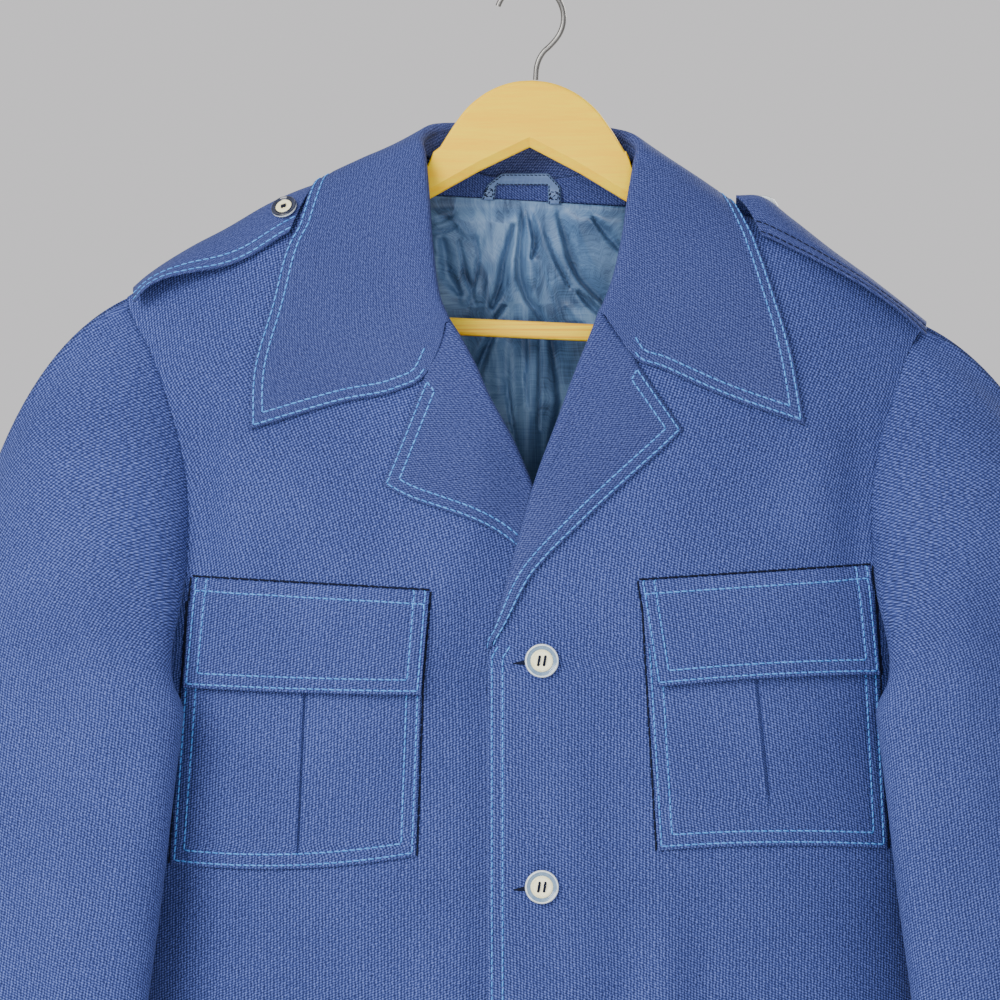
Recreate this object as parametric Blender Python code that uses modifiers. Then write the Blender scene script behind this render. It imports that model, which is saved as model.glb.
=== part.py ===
"""A safari jacket hung on a wooden hanger, in metres, +Z up.

The origin is the inside top of the hanger's hook. The front faces -Y, and the wearer's left is +X.
Each cut piece is a thin wall: a grid of points on the garment's own surface, given thickness by a
Solidify modifier. The body's surface is worked out from its width, its depth and its shoulder line,
and what lies on a panel is made from the same surface, moved out. Sizes below are in millimetres.
"""

import math
from collections import namedtuple

import bmesh
import bpy
import numpy as np
from mathutils import Vector

MM = 0.001
FRONT, BACK = -1, 1  # the face of the body, as the sign of y
WEARERS_RIGHT, WEARERS_LEFT = -1, 1  # the side of the body, as the sign of x
SIDE_NAMES = {WEARERS_RIGHT: "right", WEARERS_LEFT: "left"}

# ---- cloth ----
WALL = 1.6  # double-knit panel
TURNED_WALL = 1.8  # collar, lapels and straps, which are two layers
POCKET_WALL = 1.5
LINING_WALL = 1.0
SEAM_GAP = 2.1  # between two panels' outer edges, which leaves about 0.3 between their inner edges
SLEEVE_GAP = 1.7  # between a sleeve's edge and the armhole's
LIE_GAP = 0.75  # between a panel and what lies on it

# ---- body ----
HEM_Z = -915.0
UNDERARM_Z = -405.0
NECK_HALF = 62.0  # from the centre back to the neck point
SHOULDER_HALF = 237.0
ROUND_SIDE = 2.2  # exponent of the body's oval section
ROUND_SHOULDER = 2.2  # how full the body grows below the shoulder line

Level = namedtuple("Level", "z half_width front_depth back_depth")
LEVELS = [
    Level(HEM_Z, 247, 82, 74),
    Level(-800, 241, 77, 69),
    Level(-650, 235, 71, 64),
    Level(-500, 234, 67, 60),
    Level(UNDERARM_Z, 236, 65, 57),
    Level(-300, 237, 62, 53),
    Level(-190, 241, 60, 50),
    Level(-80, 244, 60, 50),
]

# The shoulder line: how far down it is at each distance from the centre. The jacket hangs askew.
Ridge = namedtuple("Ridge", "out right_z left_z")
SHOULDER_LINE = [
    Ridge(0, -89, -89),
    Ridge(62, -101, -104),
    Ridge(95, -110, -119),
    Ridge(117, -118, -131),
    Ridge(137, -125, -139),
    Ridge(155, -133, -147),
    Ridge(178, -146, -160),
    Ridge(200, -158, -175),
    Ridge(220, -171, -190),
    Ridge(240, -185, -205),
]

NECKLINE_Z = -118.0  # at the centre back
Armhole = namedtuple("Armhole", "z front back")
ARMHOLE = [
    Armhole(UNDERARM_Z, 236, 236),
    Armhole(-396, 226, 231),
    Armhole(-382, 214, 225),
    Armhole(-362, 206, 220),
    Armhole(-330, 203, 217),
    Armhole(-294, 203, 217),
    Armhole(-274, 206, 219),
    Armhole(-241, 215, 223),
    Armhole(-215, 224, 229),
    Armhole(-194, 235, 236),
    Armhole(-184, 238, 238),
]

# The fronts' inner edges: the front edge up to where the lapel starts, then the roll line.
FRONT_EDGE = {WEARERS_LEFT: -25.0, WEARERS_RIGHT: 38.0}
BREAK_Z = {WEARERS_LEFT: -385.0, WEARERS_RIGHT: -392.0}
Roll = namedtuple("Roll", "z x")
ROLL_LINE = {
    WEARERS_LEFT: [
        Roll(-385, -23.5),
        Roll(-373, -20),
        Roll(-341, -11),
        Roll(-315, -4),
        Roll(-288, 4),
        Roll(-256, 16),
        Roll(-226, 27),
        Roll(-200, 37.5),
        Roll(-175, 46),
        Roll(-150, 53),
        Roll(-130, 57),
        Roll(-104, 60),
    ],
    WEARERS_RIGHT: [
        Roll(-392, 38),
        Roll(-291, 0.6),
        Roll(-269, -9),
        Roll(-239, -25),
        Roll(-225, -31),
        Roll(-208, -40),
        Roll(-195, -48),
        Roll(-180, -54),
        Roll(-153, -57.5),
        Roll(-122, -59),
        Roll(-101, -60),
    ],
}
ROLL_RADIUS = 3.6
ROLL_RETURN = 5.0  # how far a rolled edge comes back inside
ROLL_CLEAR = 0.4  # between a front's cut edge and the cloth rolled round it
BREAK_RUN = 12.0  # height over which the roll grows out of the front edge
NECK_CUT = 4.0  # how much further back the fronts' neck edge lies under the collar
NECK_CUT_RUN = (-215.0, -170.0)  # heights between which it grows to that
UNDERLAP = 4.2  # how far the right front lies under the left one
UNDERLAP_AT_LAPEL = 8.5  # more, where its lapel lies between them
LAPEL_BELOW = (-440.0, -405.0)  # heights between which the underlap grows to that
UNDERLAP_FROM = (-62.0, -34.0)  # where the right front starts to drop, below the lapels and beside them
UNDERLAP_RUN = 34.0  # how far across it takes to drop
UNDERLAP_TURN = (-400.0, -290.0)  # heights between which its start moves from the one to the other
UNDERLAP_TOP = (-238.0, -284.0)  # heights between which the fronts part

# Soft folds, each a trough (out < 0) or a ridge along a straight line on one face.
Fold = namedtuple("Fold", "face x0 z0 x1 z1 half_width out")
FOLDS = [
    Fold(FRONT, -196, -235, -191, -362, 11, -9.0),
    Fold(FRONT, 198, -245, 192, -365, 12, -8.0),
    Fold(FRONT, -176, -225, -166, -345, 15, 3.5),
    Fold(FRONT, 172, -230, 166, -345, 16, 3.0),
    Fold(FRONT, -40, -330, -75, -640, 20, -2.5),
    Fold(FRONT, 48, -345, 62, -700, 20, -3.0),
    Fold(FRONT, 120, -500, 100, -1000, 26, -6.0),
    Fold(FRONT, -105, -540, -90, -1000, 26, -6.5),
    Fold(FRONT, 185, -560, 178, -1000, 24, 7.0),
    Fold(FRONT, -178, -560, -170, -1000, 24, 7.0),
    Fold(BACK, 0, -330, 5, -1000, 30, -5.0),
    Fold(BACK, 95, -420, 110, -1000, 30, 6.0),
    Fold(BACK, -100, -450, -112, -1000, 28, 6.5),
    Fold(BACK, -185, -300, -170, -620, 20, -6.0),
    Fold(BACK, 190, -290, 178, -600, 20, -5.5),
]

# ---- lapels: rows from the break up to the gorge seam ----
LapelRow = namedtuple("LapelRow", "at roll_z out_x out_z")
LAPELS = {
    WEARERS_LEFT: [
        LapelRow(0, -380, -13, -375),
        LapelRow(1, -356, -3, -355.5),
        LapelRow(2, -333, 9, -339),
        LapelRow(3, -305, 28, -320),
        LapelRow(4, -277, 47, -302),
        LapelRow(5, -250, 64, -286.5),
        LapelRow(6, -222, 78, -274),
        LapelRow(7, -194, 90.5, -262),
    ],
    WEARERS_RIGHT: [
        LapelRow(0, -388, 25, -384),
        LapelRow(1, -366, 12, -358),
        LapelRow(2, -341, -2, -337),
        LapelRow(3, -312, -20, -322.5),
        LapelRow(4, -283, -38, -314),
        LapelRow(5, -255, -56, -308),
        LapelRow(6, -226, -72, -302.5),
        LapelRow(7, -199, -87, -294.5),
    ],
}

# ---- collar: rows from the gorge seam round to the centre back ----
# The roll is the inner visible edge, the neck is where the stand is sewn on, and the outer edge lies
# on the face given. Depths y are used only where the row has left the front.
CollarRow = namedtuple("CollarRow", "at roll_x roll_y roll_z neck_x neck_y neck_z out_x out_z face lift")
COLLARS = {
    WEARERS_LEFT: [
        CollarRow(0.00, 40.5, -46, -193, 40.5, -44, -193, 162, -259, FRONT, 2.6),
        CollarRow(0.12, 48, -42, -174, 50, -40, -176, 155, -218, FRONT, 3.0),
        CollarRow(0.26, 54, -35, -148, 57, -33, -152, 144, -180, FRONT, 3.6),
        CollarRow(0.40, 57.5, -26, -124, 61, -22, -130, 134, -152, FRONT, 4.4),
        CollarRow(0.50, 61.0, -15, -104, 62.5, -13, -110, 125, -138, FRONT, 5.6),
        CollarRow(0.60, 62.5, -2, -93, 63.5, -1, -102, 114, -133, BACK, 6.0),
        CollarRow(0.70, 54, 12, -86, 52.5, 11.5, -106.5, 98, -134, BACK, 5.0),
        CollarRow(0.80, 39, 21, -82, 39, 17.0, -111.2, 74, -144, BACK, 4.0),
        CollarRow(0.90, 20, 28, -79.5, 20, 20.4, -115.4, 38, -151, BACK, 3.6),
        CollarRow(1.00, 0, 31, -79, 0, 21.4, -117, 0, -153, BACK, 3.4),
    ],
    WEARERS_RIGHT: [
        CollarRow(0.00, -46.5, -46, -198, -46.5, -44, -198, -165, -262, FRONT, 2.6),
        CollarRow(0.12, -53, -42, -182, -55, -40, -184, -164, -228, FRONT, 3.0),
        CollarRow(0.26, -57, -35, -152, -60, -33, -155, -153, -188, FRONT, 3.6),
        CollarRow(0.40, -59, -26, -124, -62, -22, -128, -144, -154, FRONT, 4.6),
        CollarRow(0.50, -61.0, -15, -101, -62.5, -13, -107, -134, -135, FRONT, 6.8),
        CollarRow(0.60, -62.5, -2, -89.5, -63.5, -1, -99.2, -121, -122, BACK, 6.8),
        CollarRow(0.70, -54, 12, -82, -52.5, 11.5, -104.5, -102, -126, BACK, 5.0),
        CollarRow(0.80, -39, 21, -80, -39, 17.0, -110.8, -74, -141, BACK, 4.0),
        CollarRow(0.90, -20, 28, -79, -20, 20.4, -115.4, -38, -150, BACK, 3.6),
        CollarRow(1.00, 0, 31, -79, 0, 21.4, -117, 0, -153, BACK, 3.4),
    ],
}
# The collar's free end, from the gorge seam by the notch to the tip.
End = namedtuple("End", "share x z")
COLLAR_ENDS = {
    WEARERS_LEFT: [
        End(0.0, 40.5, -193),
        End(0.1, 48, -204),
        End(0.2, 58.5, -219),
        End(0.35, 75, -226),
        End(0.6, 109, -241),
        End(1.0, 162, -259),
    ],
    WEARERS_RIGHT: [
        End(0.0, -46.5, -198),
        End(0.1, -50, -212),
        End(0.2, -59, -229.5),
        End(0.35, -76, -239),
        End(0.6, -108, -246),
        End(1.0, -165, -262),
    ],
}

# ---- patch pockets and flaps: corners seen from the front ----
Patch = namedtuple("Patch", "top_in top_out low_in low_out low_mid")
Spot = namedtuple("Spot", "x z")
POCKETS = {
    WEARERS_LEFT: Patch(
        top_in=Spot(66.5, -364), top_out=Spot(203.5, -356),
        low_in=Spot(75, -513), low_out=Spot(211, -509), low_mid=Spot(120, -507.5),
    ),
    WEARERS_RIGHT: Patch(
        top_in=Spot(-62, -370), top_out=Spot(-201.5, -363),
        low_in=Spot(-67, -513), low_out=Spot(-212, -515), low_mid=Spot(-150, -521),
    ),
}
FLAPS = {
    WEARERS_LEFT: Patch(
        top_in=Spot(64, -351), top_out=Spot(201, -342),
        low_in=Spot(74, -417), low_out=Spot(207, -406.5), low_mid=Spot(106, -410.5),
    ),
    WEARERS_RIGHT: Patch(
        top_in=Spot(-59, -357), top_out=Spot(-199, -349),
        low_in=Spot(-64, -418), low_out=Spot(-205, -414), low_mid=Spot(-130, -417),
    ),
}
FLAP_WALL = 1.6
PLEAT_AT = 0.5  # share of the pocket's width
PLEAT_HALF = 3.5
PLEAT_DEEP = 1.3
POCKET_PUFF = 2.5
POCKET_WIDTH = 140.0
PLEAT_LEAST = 0.8  # most of the puff that the pleat may take
PLEAT_FOOT = 0.15  # share of the height over which the pleat dies out
PUFF_FROM = 0.15  # how far into its round the puff starts at the top
POCKET_ROWS = 9
FLAP_FLARE = 2.0
FLAP_SHARES = [0, 0.12, 0.3, 0.5, 0.7, 0.87, 1]
FLAP_REACH = 0.42  # share of the pocket that its flap covers
FLAP_RISE = 0.14  # share of the flap's height over which it rises over the pocket

# ---- shoulder straps: the reach in front of and behind the shoulder line, with the drop there ----
StrapRow = namedtuple("StrapRow", "out front_y front_drop back_y back_drop lift")
STRAPS = {
    WEARERS_LEFT: [
        StrapRow(122, 21, 20, 17, 16, 10.0),
        StrapRow(137, 20, 23, 17, 15, 15.0),
        StrapRow(155, 20, 18, 17, 10, 10.0),
        StrapRow(178, 22, 11, 17, 7, 5.0),
        StrapRow(202, 22, 7, 16, 5, 4.0),
        StrapRow(222, 20, 6, 13, 5, 3.6),
        StrapRow(234.5, 15, 8, 9, 6, 3.0),
    ],
    WEARERS_RIGHT: [
        StrapRow(127, 24, 20.5, 14, 8, 4.6),
        StrapRow(145, 25.5, 23, 15, 8, 4.6),
        StrapRow(166, 24.5, 25, 16, 8, 4.2),
        StrapRow(184, 25, 21, 16, 8, 4.0),
        StrapRow(203, 26, 14, 15, 7, 4.5),
        StrapRow(219, 26, 8, 13, 6, 5.0),
        StrapRow(229, 23, 7, 11, 6, 4.5),
        StrapRow(234.5, 17, 9, 9, 6, 3.4),
    ],
}

# ---- sleeves ----
SleeveRing = namedtuple("SleeveRing", "z out y half_width half_depth turn")
SLEEVE_RINGS = [
    SleeveRing(-432, 277, -36, 80, 38, 27),
    SleeveRing(-480, 283, -38, 80, 38, 27),
    SleeveRing(-540, 288, -41, 78, 37, 27),
    SleeveRing(-600, 294, -45, 76, 35, 27),
    SleeveRing(-660, 298, -50, 74, 34, 27),
    SleeveRing(-730, 303, -57, 71, 32, 27),
    SleeveRing(-795, 307, -64, 67, 30, 27),
]
# Shares of the armhole's height at the sleeve's columns, down its front and up its back.
ARMHOLE_DOWN = [0, 0.08, 0.17, 0.27, 0.38, 0.49, 0.6, 0.7, 0.79, 0.87, 0.93, 0.97]
ARMHOLE_UP = [1, 0.96, 0.89, 0.79, 0.67, 0.54, 0.41, 0.28, 0.16, 0.07]
UNDERARM_TURN = 215  # degrees round a ring, from its outer edge by the front, to below the armhole

# ---- hanger ----
HANGER_HALF_DEPTH, HANGER_CORNER = 6.0, 4.5
UNDER_CLOTH = 5.4  # from the shoulder line down to the wood
CROWN_X = 1.5
CROWN_HALF = 54.5
Crown = namedtuple("Crown", "off z")
CROWN = [
    Crown(0, -55.5),
    Crown(10, -56.5),
    Crown(20, -59.6),
    Crown(30, -65.2),
    Crown(40, -74.3),
    Crown(46, -82.5),
    Crown(52, -92),
    Crown(CROWN_HALF, -96),
]
HANGER_REACH = 202.0
HANGER_TILT = -0.047  # the right side hangs lower
BAR_Z, BAR_RADIUS, BAR_REACH = -203.0, 5.2, 173.0
HOOK_RADIUS, HOOK_WIRE = 20.0, 1.6
HOOK_Z = -18.4  # centre of the hook's bend, so that its inside top is the origin
STEM_X, STEM_FOOT_Z = 3.5, CROWN[0].z + 0.3
HangerArm = namedtuple("HangerArm", "out low_z")
HANGER_LOW = [
    HangerArm(0, -95),
    HangerArm(30, -110),
    HangerArm(60, -127.5),
    HangerArm(100, -147),
    HangerArm(140, -168),
    HangerArm(BAR_REACH + 0.3, -187),
    HangerArm(BAR_REACH + 1.4, -215),
    HangerArm(190, -216),
    HangerArm(HANGER_REACH, -203),
]

# ---- buttons ----
BUTTON_X, BUTTON_TOP_Z, BUTTON_PITCH, BUTTON_COUNT = 7.0, -398.0, 133.0, 4
BUTTON_RADIUS, STRAP_BUTTON_RADIUS = 10.0, 7.8
StrapButton = namedtuple("StrapButton", "out across seat")
STRAP_BUTTONS = {WEARERS_LEFT: StrapButton(139.0, -0.62, -0.25), WEARERS_RIGHT: StrapButton(144.5, 0.6, 0.6)}

# ---- lining, facing and loop inside the neck ----
LINING_TOP_Z, LINING_TOP_TILT = -126.3, -0.057
LINING_SINK = 2.2  # from the back panel's inner face to the lining's hidden face
LINING_INSET = 9.0  # from the side seam to the lining's edge
LINING_BELOW_SEAM = 0.4
LINING_BELOW_SHOULDER = 20.0
LINING_HEM_Z = -893.0
FACING_HALF = 48.0
FACING_BELOW_NECK = 0.8
FACING_SHARES = [0, 0.3, 0.65, 1]
FACING_COLUMNS = 13
FACING_SINK = 0.9  # from the back panel's inner face to the facing's hidden face
LOOP_WIDTH = 7.0
LOOP_PATH = [
    Spot(-23, -125),
    Spot(-21.5, -119),
    Spot(-16.5, -114.0),
    Spot(-2, -113.4),
    Spot(9, -114.2),
    Spot(14.2, -119),
    Spot(15, -127.5),
]
LOOP_WALL = 1.2
LOOP_SEWN_Z = (-119.0, -124.0)  # heights between which its ends sink from the facing to the lining

Finish = namedtuple("Finish", "colour roughness metallic")
FINISHES = {
    "knit": Finish((0.075, 0.125, 0.33), 0.85, 0.0),
    "satin": Finish((0.13, 0.25, 0.4), 0.4, 0.0),
    "wood": Finish((0.85, 0.58, 0.2), 0.35, 0.0),
    "steel": Finish((0.45, 0.45, 0.44), 0.3, 1.0),
    "pearl": Finish((0.7, 0.72, 0.68), 0.3, 0.0),
}


# ---- small mathematics ----
def smooth(table, key, value, at):
    """A smooth curve through one column of a table, read at other places along another column."""
    rows = sorted(table, key=lambda row: getattr(row, key))
    xs = np.array([getattr(row, key) for row in rows], float)
    ys = np.array([getattr(row, value) for row in rows], float)
    slopes = np.gradient(ys, xs)
    at = np.clip(np.asarray(at, float), xs[0], xs[-1])
    i = np.clip(np.searchsorted(xs, at, side="right") - 1, 0, len(xs) - 2)
    width = xs[i + 1] - xs[i]
    t = (at - xs[i]) / width
    return (
        ys[i] * (1 + 2 * t) * (1 - t) ** 2
        + ys[i + 1] * t**2 * (3 - 2 * t)
        + width * t * (1 - t) * (slopes[i] * (1 - t) - slopes[i + 1] * t)
    )


def straight(table, key, value, at):
    """The same as smooth, by straight lines."""
    return float(np.interp(at, [getattr(row, key) for row in table], [getattr(row, value) for row in table]))


def step(low, high, at):
    """0 below low, 1 above high and a soft change between."""
    t = np.clip((np.asarray(at, float) - low) / (high - low), 0, 1)
    return t * t * (3 - 2 * t)


def soft_max(a, b, width=2.0):
    """The larger of two numbers, with the corner where they cross rounded off."""
    return 0.5 * (a + b + np.sqrt((a - b) ** 2 + width**2))


def unit(v):
    return v / np.linalg.norm(v)


# ---- the body's surface ----
def shoulder_z(x):
    """Height of the shoulder line above a place."""
    out = np.abs(x)
    right = smooth(SHOULDER_LINE, "out", "right_z", out)
    left = smooth(SHOULDER_LINE, "out", "left_z", out)
    return np.where(np.asarray(x) < 0, right, left)


def fold_height(x, z, face):
    """How far the folds of one face lift its surface."""
    total = np.zeros(np.broadcast(x, z).shape)
    for fold in FOLDS:
        if fold.face != face:
            continue
        run = np.array([fold.x1 - fold.x0, fold.z1 - fold.z0])
        length = np.linalg.norm(run)
        along = ((x - fold.x0) * run[0] + (z - fold.z0) * run[1]) / length**2
        aside = ((x - fold.x0) * run[1] - (z - fold.z0) * run[0]) / length
        ends = step(0, 0.3, along) * step(1, 0.75, along)
        total += fold.out * np.exp(-((aside / fold.half_width) ** 2)) * ends
    return total


def depth(x, z, face):
    """Distance of the body's outer surface from the plane of the hanger."""
    x, z = np.asarray(x, float), np.asarray(z, float)
    share = np.clip(np.abs(x) / smooth(LEVELS, "z", "half_width", z), 0, 1)
    across = (1 - share**ROUND_SIDE) ** (1 / ROUND_SIDE)
    top = shoulder_z(x)
    down = np.clip((top - z) / (top - UNDERARM_Z), 0, 1)
    full = np.sqrt(1 - (1 - down) ** ROUND_SHOULDER)
    column = "front_depth" if face == FRONT else "back_depth"
    return smooth(LEVELS, "z", column, z) * across * full + fold_height(x, z, face) * across * full


def on_body(x, z, face, lift=0.0):
    """Points on the body's outer surface, moved out by lift."""
    x, z = np.broadcast_arrays(np.asarray(x, float), np.asarray(z, float))
    return np.stack([x, face * (depth(x, z, face) + SEAM_GAP / 2 + lift), z], -1)


def over_shoulder(x, round_by, lift=0.0):
    """A point on the body near the shoulder line, moved out by lift. Round_by is the root of the drop
    below the line, and is positive in front of it and negative behind."""
    line = float(shoulder_z(x))
    drop = round_by**2
    aside = min(abs(round_by) / 4.0, 1.0)
    face = BACK if round_by < 0 else FRONT
    y = face * (float(depth(x, line - drop, face)) + (SEAM_GAP / 2 + lift) * aside)
    return np.array([x, y, line - drop + lift * math.sqrt(1 - aside**2)])


def front_drop(x, z):
    """How far the right front lies below the left one where they overlap."""
    near_lapel = step(*LAPEL_BELOW, z)
    deep = UNDERLAP + (UNDERLAP_AT_LAPEL - UNDERLAP) * near_lapel
    low, high = UNDERLAP_FROM
    start = low + (high - low) * near_lapel * step(*UNDERLAP_TURN, z)
    lapped = step(start, start + UNDERLAP_RUN, x)
    return deep * lapped * step(*UNDERLAP_TOP, z)


def on_front(side, x, z, lift=0.0):
    """Points on one front's outer surface, moved out by lift."""
    if side == WEARERS_RIGHT:
        lift = lift - front_drop(x, z)
    return on_body(x, z, FRONT, lift)


def roll_x(side, z):
    """The visible inner edge of a front at a height."""
    below = np.asarray(z) < BREAK_Z[side]
    return np.where(below, FRONT_EDGE[side], smooth(ROLL_LINE[side], "z", "x", z))


# ---- grids and walls ----
def shares(count):
    return np.linspace(0, 1, count)


def quad_faces(rows, columns, closed):
    """Faces of a grid of points, row by row."""
    faces = []
    for j in range(rows - 1):
        for i in range(columns if closed else columns - 1):
            k = (i + 1) % columns
            faces.append((j * columns + i, (j + 1) * columns + i, (j + 1) * columns + k, j * columns + k))
    return faces


def finish_of(name):
    """The material of one finish, made once."""
    material = bpy.data.materials.get(name)
    if material:
        return material
    material = bpy.data.materials.new(name)
    material.use_nodes = True
    shader = material.node_tree.nodes["Principled BSDF"]
    shader.inputs["Base Color"].default_value = (*FINISHES[name].colour, 1)
    shader.inputs["Roughness"].default_value = FINISHES[name].roughness
    shader.inputs["Metallic"].default_value = FINISHES[name].metallic
    return material


def add_object(name, mesh, finish, collection):
    mesh.materials.append(finish_of(finish))
    mesh.shade_smooth()
    mesh.set_sharp_from_angle(angle=math.radians(40))
    ob = bpy.data.objects.new(name, mesh)
    collection.objects.link(ob)
    return ob


def add_wall(name, grid, wall, finish, collection, closed=False, flip=False):
    """A cloth wall whose outer surface is the grid. Flip turns the side that the wall grows to."""
    rows, columns = grid.shape[:2]
    mesh = bpy.data.meshes.new(name)
    mesh.from_pydata((grid.reshape(-1, 3) * MM).tolist(), [], quad_faces(rows, columns, closed))
    if flip:
        mesh.flip_normals()
    ob = add_object(name, mesh, finish, collection)
    thick = ob.modifiers.new("wall", "SOLIDIFY")
    thick.thickness = wall * MM
    thick.offset = -1
    thick.use_even_offset = True
    return ob


# ---- the body's panels ----
TOP_SHARES = [0, 0.012, 0.045, 0.1, 0.175, 0.27, 0.38, 0.5, 0.62, 0.74, 0.84, 0.91, 0.96, 1]
LOW_ROWS = 11
FRONT_COLUMNS = [0, 0.03, 0.06, 0.1, 0.15, 0.21, 0.29, 0.39, 0.5, 0.6, 0.69, 0.76, 0.82, 0.87, 0.92, 0.965, 1]
BACK_COLUMNS = [0, 0.09, 0.175, 0.225, 0.262, 0.33, 0.43, 0.54, 0.65, 0.75, 0.83, 0.9, 0.955, 1]


def edge_place(edge, top, share):
    """Where an edge given by height crosses a row given by its share of the way down."""
    x = edge(UNDERARM_Z)
    for _ in range(12):
        z = top(x) + (UNDERARM_Z - top(x)) * share
        x = edge(z)
    return float(x)


def front_grid(side):
    """A front's outer surface, from the shoulder seam down to the hem."""
    def inner(z):
        under_roll = (ROLL_RADIUS + ROLL_CLEAR) * step(BREAK_Z[side] - BREAK_RUN, BREAK_Z[side], z)
        under_collar = NECK_CUT * step(*NECK_CUT_RUN, z)
        return roll_x(side, z) + side * (under_roll + under_collar)

    outer = lambda z: side * smooth(ARMHOLE, "z", "front", z)
    rows = []
    for share in TOP_SHARES:
        x0 = edge_place(inner, shoulder_z, share)
        x1 = edge_place(outer, shoulder_z, share)
        x = x0 + (x1 - x0) * np.array(FRONT_COLUMNS)
        z = shoulder_z(x) + (UNDERARM_Z - shoulder_z(x)) * share
        rows.append(on_front(side, x, z))
    for share in shares(LOW_ROWS)[1:]:
        z = UNDERARM_Z + (HEM_Z - UNDERARM_Z) * share
        x0 = float(inner(z))
        x1 = side * float(smooth(LEVELS, "z", "half_width", z))
        x = x0 + (x1 - x0) * np.array(FRONT_COLUMNS)
        rows.append(on_front(side, x, np.full_like(x, z)))
    return np.array(rows)


def back_top(x):
    """The back's upper edge: the neckline between the neck points, then the shoulder line."""
    neck = NECKLINE_Z - (NECKLINE_Z - shoulder_z(np.sign(x) * NECK_HALF)) * (np.abs(x) / NECK_HALF) ** 2
    return np.where(np.abs(x) < NECK_HALF, neck, shoulder_z(x))


def inside_back(x, z, inset, sink):
    """Points of a surface inside the back, nearer the middle at the sides by inset."""
    half = smooth(LEVELS, "z", "half_width", z)
    points = on_body(x * half / (half - inset / 2), z, BACK, -sink)
    points[..., 0] = x
    return points


def back_grid(top, low_z, inset=0.0, sink=0.0):
    """The back's surface between an upper edge and a height, or one parallel to it inside."""
    spread = np.array([-share for share in BACK_COLUMNS[:0:-1]] + BACK_COLUMNS)
    rows = []
    for share in TOP_SHARES:
        reach = []
        for side in (WEARERS_RIGHT, WEARERS_LEFT):
            outer = lambda z: side * (smooth(ARMHOLE, "z", "back", z) - inset)
            reach.append(edge_place(outer, top, share))
        x = (reach[0] + reach[1]) / 2 + (reach[1] - reach[0]) / 2 * spread
        z = top(x) + (UNDERARM_Z - top(x)) * share
        rows.append(inside_back(x, z, inset, sink))
    for share in shares(LOW_ROWS)[1:]:
        z = UNDERARM_Z + (low_z - UNDERARM_Z) * share
        x = (float(smooth(LEVELS, "z", "half_width", z)) - inset) * spread
        rows.append(inside_back(x, np.full_like(x, z), inset, sink))
    return np.array(rows)


# ---- sleeves ----
def armhole_point(side, share, face):
    """A point on the armhole, from the shoulder tip (0) down to the underarm (1)."""
    column = "front" if face == FRONT else "back"
    outer = lambda z: side * smooth(ARMHOLE, "z", column, z)
    x = edge_place(outer, shoulder_z, share)
    z = float(shoulder_z(x) + (UNDERARM_Z - shoulder_z(x)) * share)
    return on_body(x, z, face)


def armhole_loop(side):
    """The armhole's points, from the shoulder tip by the front to the underarm and up the back."""
    loop = []
    down, up = ARMHOLE_DOWN, ARMHOLE_UP
    for i, share in enumerate(down):
        loop.append((armhole_point(side, share, FRONT), UNDERARM_TURN * i / len(down)))
    for i, share in enumerate(up):
        turn = UNDERARM_TURN + (360 - UNDERARM_TURN) * i / len(up)
        loop.append((armhole_point(side, share, BACK), turn))
    tip, under = loop[0][0], loop[len(down)][0]
    tip[1] = under[1] = 0.0
    return loop


def ring_point(side, ring, turn):
    """A point on one of a sleeve's rings. 0 degrees is its outer edge and 90 its front."""
    a = math.radians(turn)
    lean = math.radians(ring.turn)
    long = ring.half_width * math.cos(a)
    short = -ring.half_depth * math.sin(a)
    out = ring.out + long * math.cos(lean) - short * math.sin(lean)
    y = ring.y + long * math.sin(lean) + short * math.cos(lean)
    return np.array([side * out, y, ring.z])


CAP_SHARES = [0, 0.1, 0.24, 0.4, 0.58, 0.78]
LEAVE_PULL, HANG_PULL = 0.95, 0.9  # how strongly the cap leaves the armhole, and how it comes to hang
HANG_OUT = 0.1  # how far it leans out as it starts to hang
SIDE_CLEAR = 3.0  # more room between the cap and the body's side than at the seam
SIDE_CLEAR_Z = (-365.0, -385.0)  # heights between which that room is needed
# The direction in which the sleeve leaves the armhole, at each turn of its rings.
Leave = namedtuple("Leave", "turn out y z")
LEAVES = [
    Leave(0, 1.0, 0, -0.45),
    Leave(45, 0.85, -0.5, -0.5),
    Leave(90, 0.5, -0.7, -0.5),
    Leave(130, 0.15, -0.8, -0.5),
    Leave(165, 0.05, -0.75, -0.65),
    Leave(190, 0.1, -0.85, -0.5),
    Leave(215, 0.55, -0.65, -0.4),
    Leave(235, 0.95, 0.2, -0.3),
    Leave(270, 0.9, 0.5, -0.4),
    Leave(315, 0.95, 0.35, -0.5),
    Leave(360, 1.0, 0, -0.45),
]


def clear_of_side(point, gap):
    """A point pushed out of the body's oval section, where it lies closer to it than gap."""
    x, y, z = point
    half = float(smooth(LEVELS, "z", "half_width", z)) + gap
    deep = float(smooth(LEVELS, "z", "front_depth" if y < 0 else "back_depth", z)) + gap
    share = ((abs(x) / half) ** ROUND_SIDE + (abs(y) / deep) ** ROUND_SIDE) ** (1 / ROUND_SIDE)
    return np.array([x / share, y / share, z]) if share < 1 else point


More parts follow.
